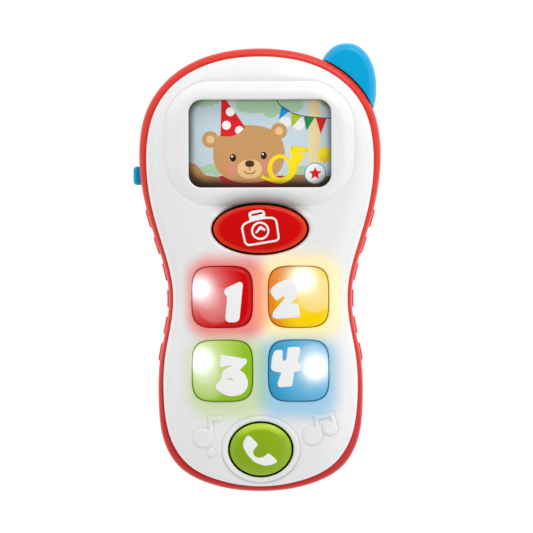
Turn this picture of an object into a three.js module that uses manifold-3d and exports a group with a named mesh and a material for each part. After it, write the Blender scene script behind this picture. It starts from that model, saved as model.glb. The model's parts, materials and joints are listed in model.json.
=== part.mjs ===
// Toy cell phone with four lit number keys, a camera button, a call button, a picture screen,
// a side slide switch and a stub antenna. It lies on its back: +Z comes out of the keys, +Y runs
// towards the antenna end and +X is to the right of a person reading the keys. The origin is on the
// flat back, midway up the body. Millimetres.
import * as THREE from "three";
import { mergeVertices } from "three/addons/utils/BufferGeometryUtils.js";
import Module from "manifold-3d";

const wasm = await Module();
wasm.setup();

// ---- driving dimensions ----------------------------------------------------------------------

const GAP = 0.3; // between pieces that rest on each other

// Right half of the two outlines, from the top of the body to the bottom.
const CASE_HALF = [
  [0, 82.9], [13.6, 81.6], [25.7, 77.5], [35.8, 70], [42.6, 59.4], [45.2, 45.5], [43.7, 27.7],
  [38.7, 9.9], [34.6, -5.5], [34.6, -16.5], [37.6, -33], [38.2, -50], [36.5, -63.2], [30.9, -73.3],
  [18.7, -80.2], [0, -82.9],
];
const FACE_HALF = [
  [0, 79.6], [12.5, 78.5], [23.6, 74.9], [33, 68.4], [39.5, 58.8], [42.4, 45], [41.2, 26.8],
  [36.7, 9.8], [32.9, -5.5], [32.9, -16], [35.7, -32.6], [36.1, -49.5], [33.6, -63], [27, -72.7],
  [15.5, -78.5], [0, -80.8],
];
const OUTLINE_POINTS = 42;

// Heights of the case.
const BACK_WALL = 2.2;
const RIM_TOP = 21.8;
const LEDGE_Z = 17.4; // the front shell's skirt stands on this ledge inside the rear shell
const SKIRT_WALL = 2;
const FACE_EDGE_Z = 21.7;
const FACE_CROWN_Z = 28.5;
const FACE_ROLL = 15; // width of the face's rounded border
const FACE_WALL = 2.2;

// Screen.
const SCREEN_Y = 46.6;
const BEZEL = { w: 71.2, h: 46.6, r: 17, top: 30.3, slope: 5.5 };
const WINDOW = { w: 52.6, h: 32.4, r: 4.8 };
const LENS = { w: 57, h: 37, r: 6.5, z: 25.2, t: 1.5 };
const CARD = { w: 56, h: 36, r: 6, z: 24.5, t: 0.4 };
const HOLDER = { w: 60, h: 37, r: 9, z: 22.7, t: 1.5, earX: 32.5, earR: 3.4 };
const LENS_CEILING = LENS.z + LENS.t + GAP;

// Buttons: half sizes of the hole in the face, side clearance, flange and travel.
const SLEEVE_BOTTOM = 21.2;
const FLANGE_TOP = SLEEVE_BOTTOM - GAP;
const FLANGE_T = 1.2;
const FLANGE_BOTTOM = FLANGE_TOP - FLANGE_T;
const BUTTON_WALL = 1.8;
const BUTTON_ROOF = 2.4;
const SLEEVE_WALL = 1.2;
const KEY_X = 14.1;
const KEY_ROWS = [-10, -37.3];
const KEY = { a: 11.35, b: 11.5, power: 4, gap: 0.35, flange: 1.2, proud: 1.5, tilt: 0, sides: 20 };
const CAMERA = { x: 0, y: 15.1, a: 18.05, b: 9.6, power: 2, gap: 0.5, flange: 1.2, proud: 1.3, tilt: 0, sides: 28 };
const CALL = { x: 0, y: -66.6, a: 12.15, b: 10.5, power: 2, gap: 0.5, flange: 0.9, proud: 1.3, tilt: 0.16, sides: 24 };
const NOTE_RISE = 0.5;
const COLLAR = { a: 14.6, b: 12.1, rise: 0.8 }; // raised ring round the call button
const BUTTONS = {
  key_1: { ...KEY, x: -KEY_X, y: KEY_ROWS[0] },
  key_2: { ...KEY, x: KEY_X, y: KEY_ROWS[0] },
  key_3: { ...KEY, x: -KEY_X, y: KEY_ROWS[1] },
  key_4: { ...KEY, x: KEY_X, y: KEY_ROWS[1] },
  camera_button: CAMERA,
  call_button: CALL,
};

// Electronics.
const PCB = { z: 14.9, t: 1.6, halfWidth: 23, bottom: -72, top: 27, r: 10 };
const PCB_TOP = PCB.z + PCB.t;
const MAT = { z: PCB_TOP + GAP, t: 0.8, halfWidth: 19, bottom: -71, top: 25, domeTop: FLANGE_BOTTOM - GAP, domeR: 3.2 };
const PCB_SCREWS = [[-19.5, 23], [19.5, 23], [-19, -55.2], [19, -55.2]];
const LED_SPOTS = [[-21.2, -7.2], [15.7, -3.6], [-21.2, -33.5], [20.4, -36.2]];
const LED = { r: 1.5, top: 20.4 };
const SPEAKER = { y: 44, r: 18, z: BACK_WALL + GAP, rim: 1.4, magnetR: 9, top: 10.3 };

// Batteries and their bay.
const CELL = { r: 5.25, length: 44.5, nub: 1, nubR: 1.9, x: 5.6, z: 7.8 };
const BAY = { x: 11.6, y0: -59.4, y1: -9.6, top: 13.3, wall: 1.2, roof: 1 };
const CONTACT_T = 0.4;
const DOOR = { x: 12.1, y0: -68.3, y1: -6.9, r: 4, z: 0.2, t: 1.6, frame: 3.4 };
const DOOR_SCREW_Y = -64.3;
const DOOR_BOSS_R = 4;

// Case screws.
const CASE_SCREWS = [[-17, 72.5], [17, 72.5], [-28.5, -58], [28.5, -58]];
const WELL = { r: 3.3, wall: 1.3, floor: 9.5, top: 17 };
const FRONT_BOSS = { r: 3.2, z: WELL.top + GAP, hole: 1.5, holeTop: 22.5, cover: 2.4 };

// Slide switch on the left edge.
const SLIDE = { y: 35.5, z: 14.5, travel: 2, halfLength: 3.4, halfHeight: 2.1, tip: 47.6 };
const SLIDE_PLATE = { x: 39.3, t: 1, halfLength: 8.2, halfHeight: 2.8 };
const SWITCH_BOARD = { x0: -37.6, x1: -29.5, y0: 24.5, y1: 46.5, z: 11, t: 1.2 };
const BOARD_POSTS = [26.5, 44.5];

// Antenna: an oval pad behind the rim, held by a barbed tongue.
const ANTENNA = { x: 32.6, y: 68.3, a: 11.3, b: 16.9, power: 2.15, z: 14.2, half: 6 };
const TONGUE = { at: [34.6, 70.5], width: 10, height: 5, barbWidth: 14, barbHeight: 6.2, wall: 5.2, barb: 1.8 };

// Grip ribs on both sides of the waist.
const RIBS = { count: 6, firstY: 19.3, pitch: 10, length: 6.2, proud: 0.8, z0: 6, z1: 17.2 };

// Speaker grille: one hole and two rings of holes.
const GRILLE = { r: 1.3, rings: [0, 5.2, 10.4], sides: 8 };

// ---- materials -------------------------------------------------------------------------------

function plastic(colour, roughness = 0.35) {
  return new THREE.MeshStandardMaterial({ color: colour, roughness, metalness: 0 });
}
function metal(colour, roughness = 0.3) {
  return new THREE.MeshStandardMaterial({ color: colour, roughness, metalness: 1 });
}
const WHITE = plastic("#f1f1f0");
const RED = plastic("#d9352f");
const BLUE = plastic("#1fa0dc");
const CLEAR = new THREE.MeshStandardMaterial({
  color: "#eef6f8", roughness: 0.05, transparent: true, opacity: 0.3,
});
const PRINT = plastic("#b9ccd4", 0.6);
const BOARD = plastic("#2d7a46", 0.5);
const SILICONE = plastic("#d8d8d2", 0.7);
const BLACK = plastic("#1b1b1d", 0.5);
const LED_BODY = plastic("#fdfdf4", 0.15);
const STEEL = metal("#b9bcc0");
const NICKEL = metal("#d4d2c8", 0.25);
const CELL_SLEEVE = plastic("#3a5f8f", 0.3);
const PAPER_CONE = plastic("#2a2a2c", 0.9);
const WIRE_RED = plastic("#c22525", 0.5);
const WIRE_BLACK = plastic("#222222", 0.5);
const BUTTON_MATERIALS = {
  key_1: plastic("#dc1420", 0.15),
  key_2: plastic("#fbb515", 0.15),
  key_3: plastic("#62bb22", 0.15),
  key_4: plastic("#1292cc", 0.15),
  camera_button: plastic("#cf140f", 0.15),
  call_button: plastic("#98bf1c", 0.2),
};

// ---- solids ----------------------------------------------------------------------------------

// A closed three.js geometry as a solid that can be cut and joined.
function solid(geometry) {
  const bare = geometry.clone();
  bare.deleteAttribute("normal");
  bare.deleteAttribute("uv");
  const merged = mergeVertices(bare, 1e-4);
  const mesh = new wasm.Mesh({
    numProp: 3,
    vertProperties: merged.attributes.position.array,
    triVerts: new Uint32Array(merged.index.array),
  });
  return new wasm.Manifold(mesh);
}

function geometryOf(body) {
  const mesh = body.getMesh();
  const geometry = new THREE.BufferGeometry();
  geometry.setAttribute("position", new THREE.BufferAttribute(mesh.vertProperties, 3));
  geometry.setIndex(new THREE.BufferAttribute(mesh.triVerts, 1));
  return geometry;
}

function join(...bodies) {
  return bodies.reduce((a, b) => a.add(b));
}
function cut(body, ...tools) {
  return tools.reduce((a, b) => a.subtract(b), body);
}

// A straight-sided solid on a closed outline, from z0 to z1.
function prism(outline, z0, z1) {
  const shape = new THREE.Shape(outline);
  const geometry = new THREE.ExtrudeGeometry(shape, { depth: z1 - z0, bevelEnabled: false });
  return solid(geometry.translate(0, 0, z0));
}

function block(x0, x1, y0, y1, z0, z1) {
  const geometry = new THREE.BoxGeometry(x1 - x0, y1 - y0, z1 - z0);
  return solid(geometry.translate((x0 + x1) / 2, (y0 + y1) / 2, (z0 + z1) / 2));
}

// An upright round rod at (x, y), from z0 to z1.
function rod(x, y, r, z0, z1, sides = 12) {
  const geometry = new THREE.CylinderGeometry(r, r, z1 - z0, sides);
  return solid(geometry.rotateX(Math.PI / 2).translate(x, y, (z0 + z1) / 2));
}

// A turned solid about Z from [radius, height] points that start and end on the axis.
function turned(profile, sides) {
  const points = profile.map(([r, z]) => new THREE.Vector2(r, z));
  return solid(new THREE.LatheGeometry(points, sides).rotateX(Math.PI / 2));
}

// ---- outlines: closed, clockwise from the top, and the same left and right ----------------------

// The whole outline from the points of its right half, as a smooth curve.
function smoothOutline(half, count = OUTLINE_POINTS) {
  const right = half.map(([x, y]) => new THREE.Vector3(x, y, 0));
  const left = half.slice(1, -1).reverse().map(([x, y]) => new THREE.Vector3(-x, y, 0));
  const curve = new THREE.CatmullRomCurve3([...right, ...left], true, "centripetal");
  return Array.from({ length: count }, (_, i) => {
    const p = curve.getPoint(i / count);
    return new THREE.Vector2(p.x, p.y);
  });
}

function superellipse(a, b, power, count, x = 0, y = 0) {
  const bent = (v) => Math.sign(v) * Math.abs(v) ** (2 / power);
  return Array.from({ length: count }, (_, i) => {
    const angle = (2 * Math.PI * i) / count;
    return new THREE.Vector2(x + a * bent(Math.sin(angle)), y + b * bent(Math.cos(angle)));
  });
}

function roundedRect(w, h, r, x = 0, y = 0, steps = 5) {
  const half = [[0, h / 2]];
  for (const [corner, start] of [[1, 0], [-1, 1]]) {
    for (let i = 0; i <= steps; i++) {
      const angle = (Math.PI / 2) * (start + i / steps);
      half.push([w / 2 - r + r * Math.sin(angle), corner * (h / 2 - r) + r * Math.cos(angle)]);
    }
  }
  half.push([0, -h / 2]);
  const left = half.slice(1, -1).reverse().map(([px, py]) => [-px, py]);
  return [...half, ...left].map(([px, py]) => new THREE.Vector2(x + px, y + py));
}

// The outline moved inwards by d.
function inset(outline, d) {
  const n = outline.length;
  const inward = (a, b) => new THREE.Vector2(b.y - a.y, a.x - b.x).normalize();
  return outline.map((p, i) => {
    const before = inward(outline[(i + n - 1) % n], p);
    const after = inward(p, outline[(i + 1) % n]);
    const middle = before.clone().add(after).divideScalar(1 + before.dot(after));
    return p.clone().addScaledVector(middle, d);
  });
}

function mix(a, b, share) {
  return a.map((p, i) => p.clone().lerp(b[i], share));
}

// An outline at a height, which is a number or a function of the point.
function ring(outline, height) {
  return outline.map((p) => new THREE.Vector3(p.x, p.y, typeof height === "number" ? height : height(p)));
}

// A closed solid through rings of equal count, lowest first, with caps woven from left to right.
function loft(rings) {
  const n = rings[0].length;
  const position = rings.flat().flatMap((p) => [p.x, p.y, p.z]);
  const faces = [];
  for (let k = 0; k + 1 < rings.length; k++) {
    for (let i = 0; i < n; i++) {
      const [a, b] = [k * n + i, k * n + ((i + 1) % n)];
      faces.push(a, a + n, b, b, a + n, b + n);
    }
  }
  const top = (rings.length - 1) * n;
  for (let i = 0; i < n / 2; i++) {
    const [a, b, c, d] = [i, i + 1, n - i - 1, (n - i) % n];
    if (b !== c) faces.push(top + d, top + c, top + b, b, c, d);
    if (a !== d) faces.push(top + d, top + b, top + a, a, b, d);
  }
  const geometry = new THREE.BufferGeometry();
  geometry.setAttribute("position", new THREE.Float32BufferAttribute(position, 3));
  geometry.setIndex(faces);
  return solid(geometry);
}

const caseOutline = smoothOutline(CASE_HALF);
const faceOutline = smoothOutline(FACE_HALF);

// ---- the face's surface ------------------------------------------------------------------------

// Height of the middle of the face: level under the keys and lower towards both ends.
function crown(y) {
  const low = 3.5 * (Math.max(0, -30 - y) / 50) ** 2;
  const high = 3 * (Math.max(0, y - 45) / 37) ** 2;
  return FACE_CROWN_Z - low - high;
}

// How far the border has risen at a distance from the face's outline, from 0 to 1.
function borderRise(distance) {
  const left = 1 - Math.min(Math.max(distance, 0), FACE_ROLL) / FACE_ROLL;
  return Math.sqrt(1 - left ** 2.6);
}

function faceHeight(p, distance) {
  return FACE_EDGE_Z + (crown(p.y) - FACE_EDGE_Z) * borderRise(distance);
}

// Shortest distance from a point to the face's outline.
function fromOutline(p) {
  const n = faceOutline.length;
  let nearest = Infinity;
  for (let i = 0; i < n; i++) {
    const a = faceOutline[i];
    const side = faceOutline[(i + 1) % n].clone().sub(a);
    const along = THREE.MathUtils.clamp(p.clone().sub(a).dot(side) / side.lengthSq(), 0, 1);
    nearest = Math.min(nearest, p.distanceTo(a.clone().addScaledVector(side, along)));
  }
  return nearest;
}

function faceAt(x, y) {
  const p = new THREE.Vector2(x, y);
  return faceHeight(p, fromOutline(p));
}

// ---- front shell -------------------------------------------------------------------------------

function faceBody() {
  const border = [0, 0.6, 2, 4.5, 8.5, 13];
  const edge = inset(faceOutline, GAP);
  const rings = [ring(edge, LEDGE_Z + GAP)];
  for (const d of border) {
    rings.push(ring(inset(edge, d), (p) => faceHeight(p, d)));
  }
  return loft(rings);
}

function faceHollow() {
  const wall = inset(faceOutline, GAP + SKIRT_WALL);
  const rings = [ring(wall, 0), ring(wall, 20.9)];
  for (const d of [1.2, 5, 10]) {
    rings.push(ring(inset(wall, d), (p) => faceHeight(p, d + 1.2) - FACE_WALL));
  }
  return loft(rings);
}

function bezelBody() {
  const outline = roundedRect(BEZEL.w, BEZEL.h, BEZEL.r, 0, SCREEN_Y, 6);
  const rings = [ring(outline, LENS_CEILING - 1)];
  for (const share of [0, 0.25, 0.55, 1]) {
    const rise = Math.sin((Math.PI / 2) * share);
    const height = (p) => THREE.MathUtils.lerp(Math.max(faceAt(p.x, p.y), LENS_CEILING - 0.9), BEZEL.top, rise);
    rings.push(ring(inset(outline, BEZEL.slope * share), height));
  }
  return loft(rings);
}

function collarBody() {
  const rings = [];
  for (const [d, rise] of [[0, -2], [0, 0.1], [0.8, COLLAR.rise]]) {
    const outline = superellipse(COLLAR.a - d, COLLAR.b - d, 2, CALL.sides, CALL.x, CALL.y);
    rings.push(ring(outline, (p) => faceAt(p.x, p.y) + rise));
  }
  return loft(rings);
}

// The notes moulded on the face: a plate that follows the surface, raised a little.
function noteBody(pieces) {
  return pieces.map((outline) => loft([
    ring(outline, (p) => faceAt(p.x, p.y) - 1),
    ring(outline, (p) => faceAt(p.x, p.y) + NOTE_RISE),
  ]));
}

// A straight bar between two points, as an outline.
function bar(x0, y0, x1, y1, width) {
  const along = new THREE.Vector2(x1 - x0, y1 - y0).normalize();
  const side = new THREE.Vector2(along.y, -along.x).multiplyScalar(width / 2);
  const corner = (x, y, sign) => new THREE.Vector2(x + sign * side.x, y + sign * side.y);
  return [corner(x1, y1, -1), corner(x1, y1, 1), corner(x0, y0, 1), corner(x0, y0, -1)];
}

function notes() {
  const single = [
    superellipse(3.5, 3.3, 2, 12, -20.7, -62.1),
    bar(-17.8, -61.6, -18.5, -54.4, 1.3),
    bar(-18.5, -55.1, -14.4, -54.9, 1.5),
    superellipse(1.4, 1.4, 2, 8, -17.7, -67.7),
  ];
  const double = [
    superellipse(3.4, 3.2, 2, 12, 19.8, -61.5),
    superellipse(2.6, 2.4, 2, 12, 26.2, -58.7),
    bar(22.6, -61, 20.8, -54.3, 1.3),
    bar(28.4, -58.5, 26.8, -53.4, 1.3),
    bar(20.7, -54.9, 26.9, -53.5, 1.5),
  ];
  return [...noteBody(single), ...noteBody(double)];
}

function buttonOutline(b, grow) {
  return superellipse(b.a + grow, b.b + grow, b.power, b.sides, b.x, b.y);
}

function frontShell() {
  let shell = cut(faceBody(), faceHollow());
  const lensPocket = prism(roundedRect(LENS.w + 2 * GAP, LENS.h + 2 * GAP, LENS.r, 0, SCREEN_Y), 20, LENS_CEILING);
  shell = cut(join(shell, bezelBody()), lensPocket);
  shell = cut(shell, prism(roundedRect(WINDOW.w, WINDOW.h, WINDOW.r, 0, SCREEN_Y), 20, 40));
  for (const b of Object.values(BUTTONS)) {
    const roof = faceAt(b.x, b.y) - FACE_WALL / 2;
    const sleeve = prism(buttonOutline(b, b === CALL ? b.flange - 0.1 : SLEEVE_WALL), SLEEVE_BOTTOM, roof);
    shell = join(shell, sleeve.intersect(faceBody()));
  }
  shell = join(shell, collarBody().intersect(prism(inset(faceOutline, 0.8), 20, 40)), ...notes());
  for (const [x, y] of CASE_SCREWS) {
    shell = join(shell, rod(x, y, FRONT_BOSS.r, FRONT_BOSS.z, faceAt(x, y) - FRONT_BOSS.cover));
    shell = cut(shell, rod(x, y, FRONT_BOSS.hole, 0, FRONT_BOSS.holeTop, 8));
  }
  for (const [x, y] of PCB_SCREWS) {
    shell = join(shell, rod(x, y, 2.6, PCB_TOP + GAP, faceAt(x, y) - 1, 10));
    shell = cut(shell, rod(x, y, 1.3, 0, 22, 8));
  }
  for (const side of [-1, 1]) {
    shell = join(shell, rod(side * HOLDER.earX, SCREEN_Y, 2.6, HOLDER.z + HOLDER.t + GAP, 26.5, 10));
    shell = cut(shell, rod(side * HOLDER.earX, SCREEN_Y, 1.3, 0, 26.4, 8));
  }
  for (const b of Object.values(BUTTONS)) {
    shell = cut(shell, prism(buttonOutline(b, 0), 0, 40));
  }
  return shell;
}

// ---- rear shell --------------------------------------------------------------------------------

// The outside of the rear shell, grown by a clearance, as [height, inset] rings.
function caseBody(grow = 0) {
  const sides = [[0, 12], [0.9, 7.6], [3, 3.9], [6.5, 1.3], [11, 0.1], [18.4, 0]];
  const rings = sides.map(([z, d]) => ring(inset(caseOutline, d - grow), z));
  for (const [share, z] of [[0.25, 20.6], [0.6, 21.5], [1, RIM_TOP]]) {
    rings.push(ring(inset(mix(caseOutline, faceOutline, share), -grow), z));
  }
  return loft(rings);
}

function caseHollow() {
  const wall = [[BACK_WALL, 12], [2.6, 8], [4.1, 4.6], [7, 2.2], [11, 1], [LEDGE_Z, 1]];
  const hollow = loft(wall.map(([z, d]) => ring(inset(faceOutline, d), z)));
  return join(hollow, loft([ring(faceOutline, LEDGE_Z), ring(faceOutline, 30)]));
}

// Moves and turns a solid from the outline's own axes (x along the edge, y outwards) to a place on it.
function onEdge(body, x, y, angle) {
  const moved = geometryOf(body);
  return solid(moved.applyMatrix4(new THREE.Matrix4().makeRotationZ(angle).setPosition(x, y, 0)));
}

// The point of an outline's right side at a height, and the direction that faces out there.
function edgeAt(outline, y) {
  const i = outline.findIndex((p, k) => k > 0 && p.y <= y && outline[k - 1].y >= y);
  const [a, b] = [outline[i - 1], outline[i]];
  const share = (a.y - y) / (a.y - b.y);
  return { x: a.x + share * (b.x - a.x), outward: Math.atan2(a.x - b.x, a.y - b.y) };
}

function ribs() {
  const pads = [];
  const profile = [[-RIBS.length / 2, -1.2], [RIBS.length / 2, -1.2], [RIBS.length / 2 - 0.5, RIBS.proud],
    [0.5 - RIBS.length / 2, RIBS.proud]].map(([x, y]) => new THREE.Vector2(x, y));
  for (let i = 0; i < RIBS.count; i++) {
    const y = RIBS.firstY - i * RIBS.pitch;
    const { x, outward } = edgeAt(caseOutline, y);
    for (const side of [-1, 1]) {
      const angle = side > 0 ? -Math.PI / 2 - outward : Math.PI / 2 + outward;
      pads.push(onEdge(prism(profile, RIBS.z0, RIBS.z1), side * x, y, angle));
    }
  }
  return pads;
}

function grilleHoles() {
  const holes = [];
  GRILLE.rings.forEach((radius, k) => {
    for (let i = 0; i < Math.max(1, 6 * k); i++) {
      const angle = (2 * Math.PI * i) / Math.max(1, 6 * k);
      const [x, y] = [radius * Math.cos(angle), SPEAKER.y + radius * Math.sin(angle)];
      holes.push(rod(x, y, GRILLE.r, -1, BACK_WALL + 0.5, GRILLE.sides));
    }
  });
  return holes;
}

const doorX = DOOR.x + GAP;
const doorMiddle = (DOOR.y0 + DOOR.y1) / 2;
const doorLength = DOOR.y1 - DOOR.y0;

// The bay's walls, the door's frame and the post for its screw, before the bay is cut out.
function bayWalls() {
  const frame = prism(roundedRect(2 * doorX + 3, doorLength + 5, DOOR.r + 1, 0, doorMiddle), 1, DOOR.frame);
  const walls = block(-BAY.x - BAY.wall, BAY.x + BAY.wall, BAY.y0 - BAY.wall, BAY.y1 + BAY.wall, 1, BAY.top + BAY.roof);
  return join(frame, walls, rod(0, DOOR_SCREW_Y, DOOR_BOSS_R + 1.6, 1, 13.5, 16));
}

function bayCuts() {
  const recess = prism(roundedRect(2 * doorX, doorLength + 2 * GAP, DOOR.r, 0, doorMiddle), -1, DOOR.z + DOOR.t + GAP);
  const cuts = [recess, block(-BAY.x, BAY.x, BAY.y0, BAY.y1, -1, BAY.top)];
  cuts.push(rod(0, DOOR_SCREW_Y, DOOR_BOSS_R + GAP, -1, 4.2, 16), rod(0, DOOR_SCREW_Y, 1.5, 0, 12, 8));
  for (const side of [-1, 1]) {
    cuts.push(block(side * 7 - 2.8, side * 7 + 2.8, DOOR.y1 - 1, DOOR.y1 + 2.9, 0.7, 2.1));
    cuts.push(block(side * CELL.x - 1.4, side * CELL.x + 1.4, BAY.y1 - 0.5, BAY.y1 + 2, 10, BAY.top - 0.2));
  }
  return cuts;
}

function rearShell() {
  let shell = cut(join(caseBody(), ...ribs()), caseHollow());
  const inside = join(caseHollow(), block(-60, 60, -90, 90, 0, 3));
  const posts = [bayWalls()];
  for (const [x, y] of CASE_SCREWS) posts.push(rod(x, y, WELL.r + WELL.wall, 1.2, WELL.top));
  for (const y of BOARD_POSTS) {
    posts.push(rod(-33.5, y, 2.2, 1, SWITCH_BOARD.z - GAP, 10), rod(-33.5, y, 0.8, 5, 13.2, 8));
  }
  const seat = cut(rod(0, SPEAKER.y, SPEAKER.r + 1.6, 1, 5.5, 28), rod(0, SPEAKER.y, SPEAKER.r + GAP, 0, 9, 28));
  posts.push(seat);
  shell = join(shell, join(...posts).intersect(join(caseBody(), inside).intersect(caseBody())));
  shell = cut(shell, ...bayCuts(), ...grilleHoles());
  for (const [x, y] of CASE_SCREWS) {
    shell = cut(shell, rod(x, y, WELL.r, -1, WELL.floor), rod(x, y, 1.6, 0, 20, 8));
  }
  const slotLength = SLIDE.halfLength + SLIDE.travel + 0.4;
  const slotHeight = SLIDE.halfHeight + GAP;
  shell = cut(shell, block(-60, -35, SLIDE.y - slotLength, SLIDE.y + slotLength, SLIDE.z - slotHeight, SLIDE.z + slotHeight));
  return cut(shell, antennaTongue(GAP));
}

// ---- antenna -----------------------------------------------------------------------------------

// The tongue through the side wall, grown by a clearance. It points inwards from the outline.
function antennaTongue(grow = 0) {
  const { width, height } = TONGUE;
  const [w, h] = [width / 2 + grow, height / 2 + grow];
  return placedTongue(block(-w, w, -TONGUE.wall - TONGUE.barb - 1, 4, ANTENNA.z - h, ANTENNA.z + h));
}

function placedTongue(body) {
  const [x, y] = TONGUE.at;
  return onEdge(body, x, y, -Math.PI / 4);
}

function antenna() {
  const rings = [];
  for (const [z, d] of [[-1, 3.2], [-0.83, 1.2], [-0.45, 0.2], [0, 0], [0.45, 0.2], [0.83, 1.2], [1, 3.2]]) {
    const outline = superellipse(ANTENNA.a - d, ANTENNA.b - d, ANTENNA.power, 28, ANTENNA.x, ANTENNA.y);
    rings.push(ring(outline, ANTENNA.z + z * ANTENNA.half));
  }
  const pad = cut(loft(rings), caseBody(GAP));
  const { barbWidth, barbHeight, wall, barb } = TONGUE;
  const tongue = block(-TONGUE.width / 2, TONGUE.width / 2, -wall - 0.5, 2.5, ANTENNA.z - 2.5, ANTENNA.z + 2.5);
  const barbs = block(-barbWidth / 2, barbWidth / 2, -wall - barb, -wall, ANTENNA.z - barbHeight / 2, ANTENNA.z + barbHeight / 2);
  return join(pad, placedTongue(join(tongue, barbs)));
}

// ---- buttons -----------------------------------------------------------------------------------

// A hollow cap with a domed top, a flange that stops it under the sleeve and a post over its dome.
function button(b) {
  const side = (grow) => superellipse(b.a - b.gap + grow, b.b - b.gap + grow, b.power, b.sides);
  const top = faceAt(b.x, b.y) + b.proud;
  const lean = (z) => (p) => z + b.tilt * p.y;
  const crownRings = [[0, -1.6], [-0.4, -0.7], [-1.4, -0.2], [-4, 0]];
  const rings = [ring(side(0), FLANGE_BOTTOM)];
  for (const [grow, z] of crownRings) rings.push(ring(side(grow), lean(top + z)));
  const flange = prism(side(b.flange), FLANGE_BOTTOM, FLANGE_TOP);
  const hollow = prism(side(-BUTTON_WALL), FLANGE_BOTTOM - 1, top - BUTTON_ROOF - Math.abs(b.tilt) * b.b);
  return join(cut(join(loft(rings), flange), hollow), rod(0, 0, 2.2, FLANGE_BOTTOM, top - 2, 10));
}

// ---- screen ------------------------------------------------------------------------------------

function plate(size) {
  return prism(roundedRect(size.w, size.h, size.r), 0, size.t);
}

function cardHolder() {
  const ears = [-1, 1].map((side) => rod(side * HOLDER.earX, 0, HOLDER.earR, 0, HOLDER.t));
  const holes = [-1, 1].map((side) => rod(side * HOLDER.earX, 0, 1.3, -1, HOLDER.t + 1, 8));
  return cut(join(plate(HOLDER), ...ears), ...holes);
}

// ---- electronics -------------------------------------------------------------------------------

function mainBoard() {
  const height = PCB.top - PCB.bottom;
  const board = prism(roundedRect(2 * PCB.halfWidth, height, PCB.r, 0, (PCB.top + PCB.bottom) / 2), 0, PCB.t);
  return cut(board, ...PCB_SCREWS.map(([x, y]) => rod(x, y, 1.3, -1, PCB.t + 1, 8)));
}

function keypadMat() {
  const height = MAT.top - MAT.bottom;
  const domeHeight = MAT.domeTop - MAT.z;
  let mat = prism(roundedRect(2 * MAT.halfWidth, height, 9, 0, (MAT.top + MAT.bottom) / 2), 0, MAT.t);
  for (const b of Object.values(BUTTONS)) {
    const dome = [[0, 0.1], [MAT.domeR, 0.1], [MAT.domeR - 0.9, domeHeight], [0, domeHeight]];
    mat = join(mat, solid(geometryOf(turned(dome, 12)).translate(b.x, b.y, 0)));
  }
  for (const [x, y] of PCB_SCREWS) mat = cut(mat, rod(x, y, 2.9, -1, 3, 10));
  for (const [x, y] of LED_SPOTS) mat = cut(mat, rod(x, y, LED.r + 0.6, -1, 3, 10));
  return mat;
}

function led() {
  const height = LED.top - PCB_TOP - GAP;
  const profile = [[0, 0], [LED.r + 0.2, 0], [LED.r + 0.2, 0.6], [LED.r, 0.6], [LED.r, height - 1.2],
    [0.9, height - 0.3], [0, height]];
  return turned(profile, 10);
}

function speakerFrame() {
  const { r, rim } = SPEAKER;
  const profile = [[r - 2.4, 0], [r, 0], [r, rim], [r - 3, rim + 0.4], [SPEAKER.magnetR + 1.5, 4],
    [4, 4], [4, 3.2], [SPEAKER.magnetR + 1, 3.2], [r - 3.6, 0.9], [r - 2.4, 0]];
  return solid(new THREE.LatheGeometry(profile.map(([x, y]) => new THREE.Vector2(x, y)), 24).rotateX(Math.PI / 2));
}

function speakerCone() {
  return turned([[0, 1.4], [3, 1.1], [SPEAKER.r - 4.6, 0.1], [SPEAKER.r - 4.4, 0.6], [3, 2.2], [0, 2.4]], 20);
}

// A round wire or coil through points, closed at both ends.
function wire(points, radius, steps, sides = 6) {
  const path = new THREE.CatmullRomCurve3(points.map((p) => new THREE.Vector3(...p)));
  const section = new THREE.Shape(superellipse(radius, radius, 2, sides));
  return solid(new THREE.ExtrudeGeometry(section, { extrudePath: path, steps, bevelEnabled: false }));
}

// A cone-shaped battery spring that widens along +Y.
function batterySpring(length) {
  const turns = 3;
  const points = [];
  for (let i = 0; i <= turns * 8; i++) {
    const share = i / (turns * 8);
    const angle = 2 * Math.PI * turns * share;
    const radius = 1.6 + 1.9 * share;
    points.push([radius * Math.cos(angle), length * share, radius * Math.sin(angle)]);
  }
  return wire(points, 0.3, turns * 9, 5);
}

function batteryCell() {
  const body = CELL.length - CELL.nub;
  const profile = [[0, 0], [CELL.r - 0.5, 0], [CELL.r, 0.4], [CELL.r, body - 0.4], [CELL.r - 0.5, body],
    [CELL.nubR, body], [CELL.nubR, CELL.length], [0, CELL.length]];
  return turned(profile, 16);
}

function batteryDoor() {
  const plateOutline = roundedRect(2 * DOOR.x, doorLength, DOOR.r - GAP, 0, doorMiddle);
  let door = prism(plateOutline, DOOR.z, DOOR.z + DOOR.t);
  for (const side of [-1, 1]) {
    door = join(door, block(side * 7 - 2.5, side * 7 + 2.5, DOOR.y1 - 2, DOOR.y1 + 2.5, 1, DOOR.z + DOOR.t));
  }
  door = join(door, rod(0, DOOR_SCREW_Y, DOOR_BOSS_R, DOOR.z, 3.9, 16));
  return cut(door, rod(0, DOOR_SCREW_Y, 2.9, -1, 2.3), rod(0, DOOR_SCREW_Y, 1.5, 0, 5, 8));
}

// A cross-head screw, head down, with the underside of its head at the origin.
function screw(headR, headT, shankR, length) {
  const profile = [[0, -headT], [headR, -headT], [headR, 0], [shankR, 0], [shankR, length - 0.8], [0, length]];
  const cross = [[headR * 0.55, 0.3], [0.3, headR * 0.55]]
    .map(([x, y]) => block(-x, x, -y, y, -headT - 1, 0.7 - headT));
  return cut(turned(profile, 8), ...cross);
}

// ---- slide switch ------------------------------------------------------------------------------

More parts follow.
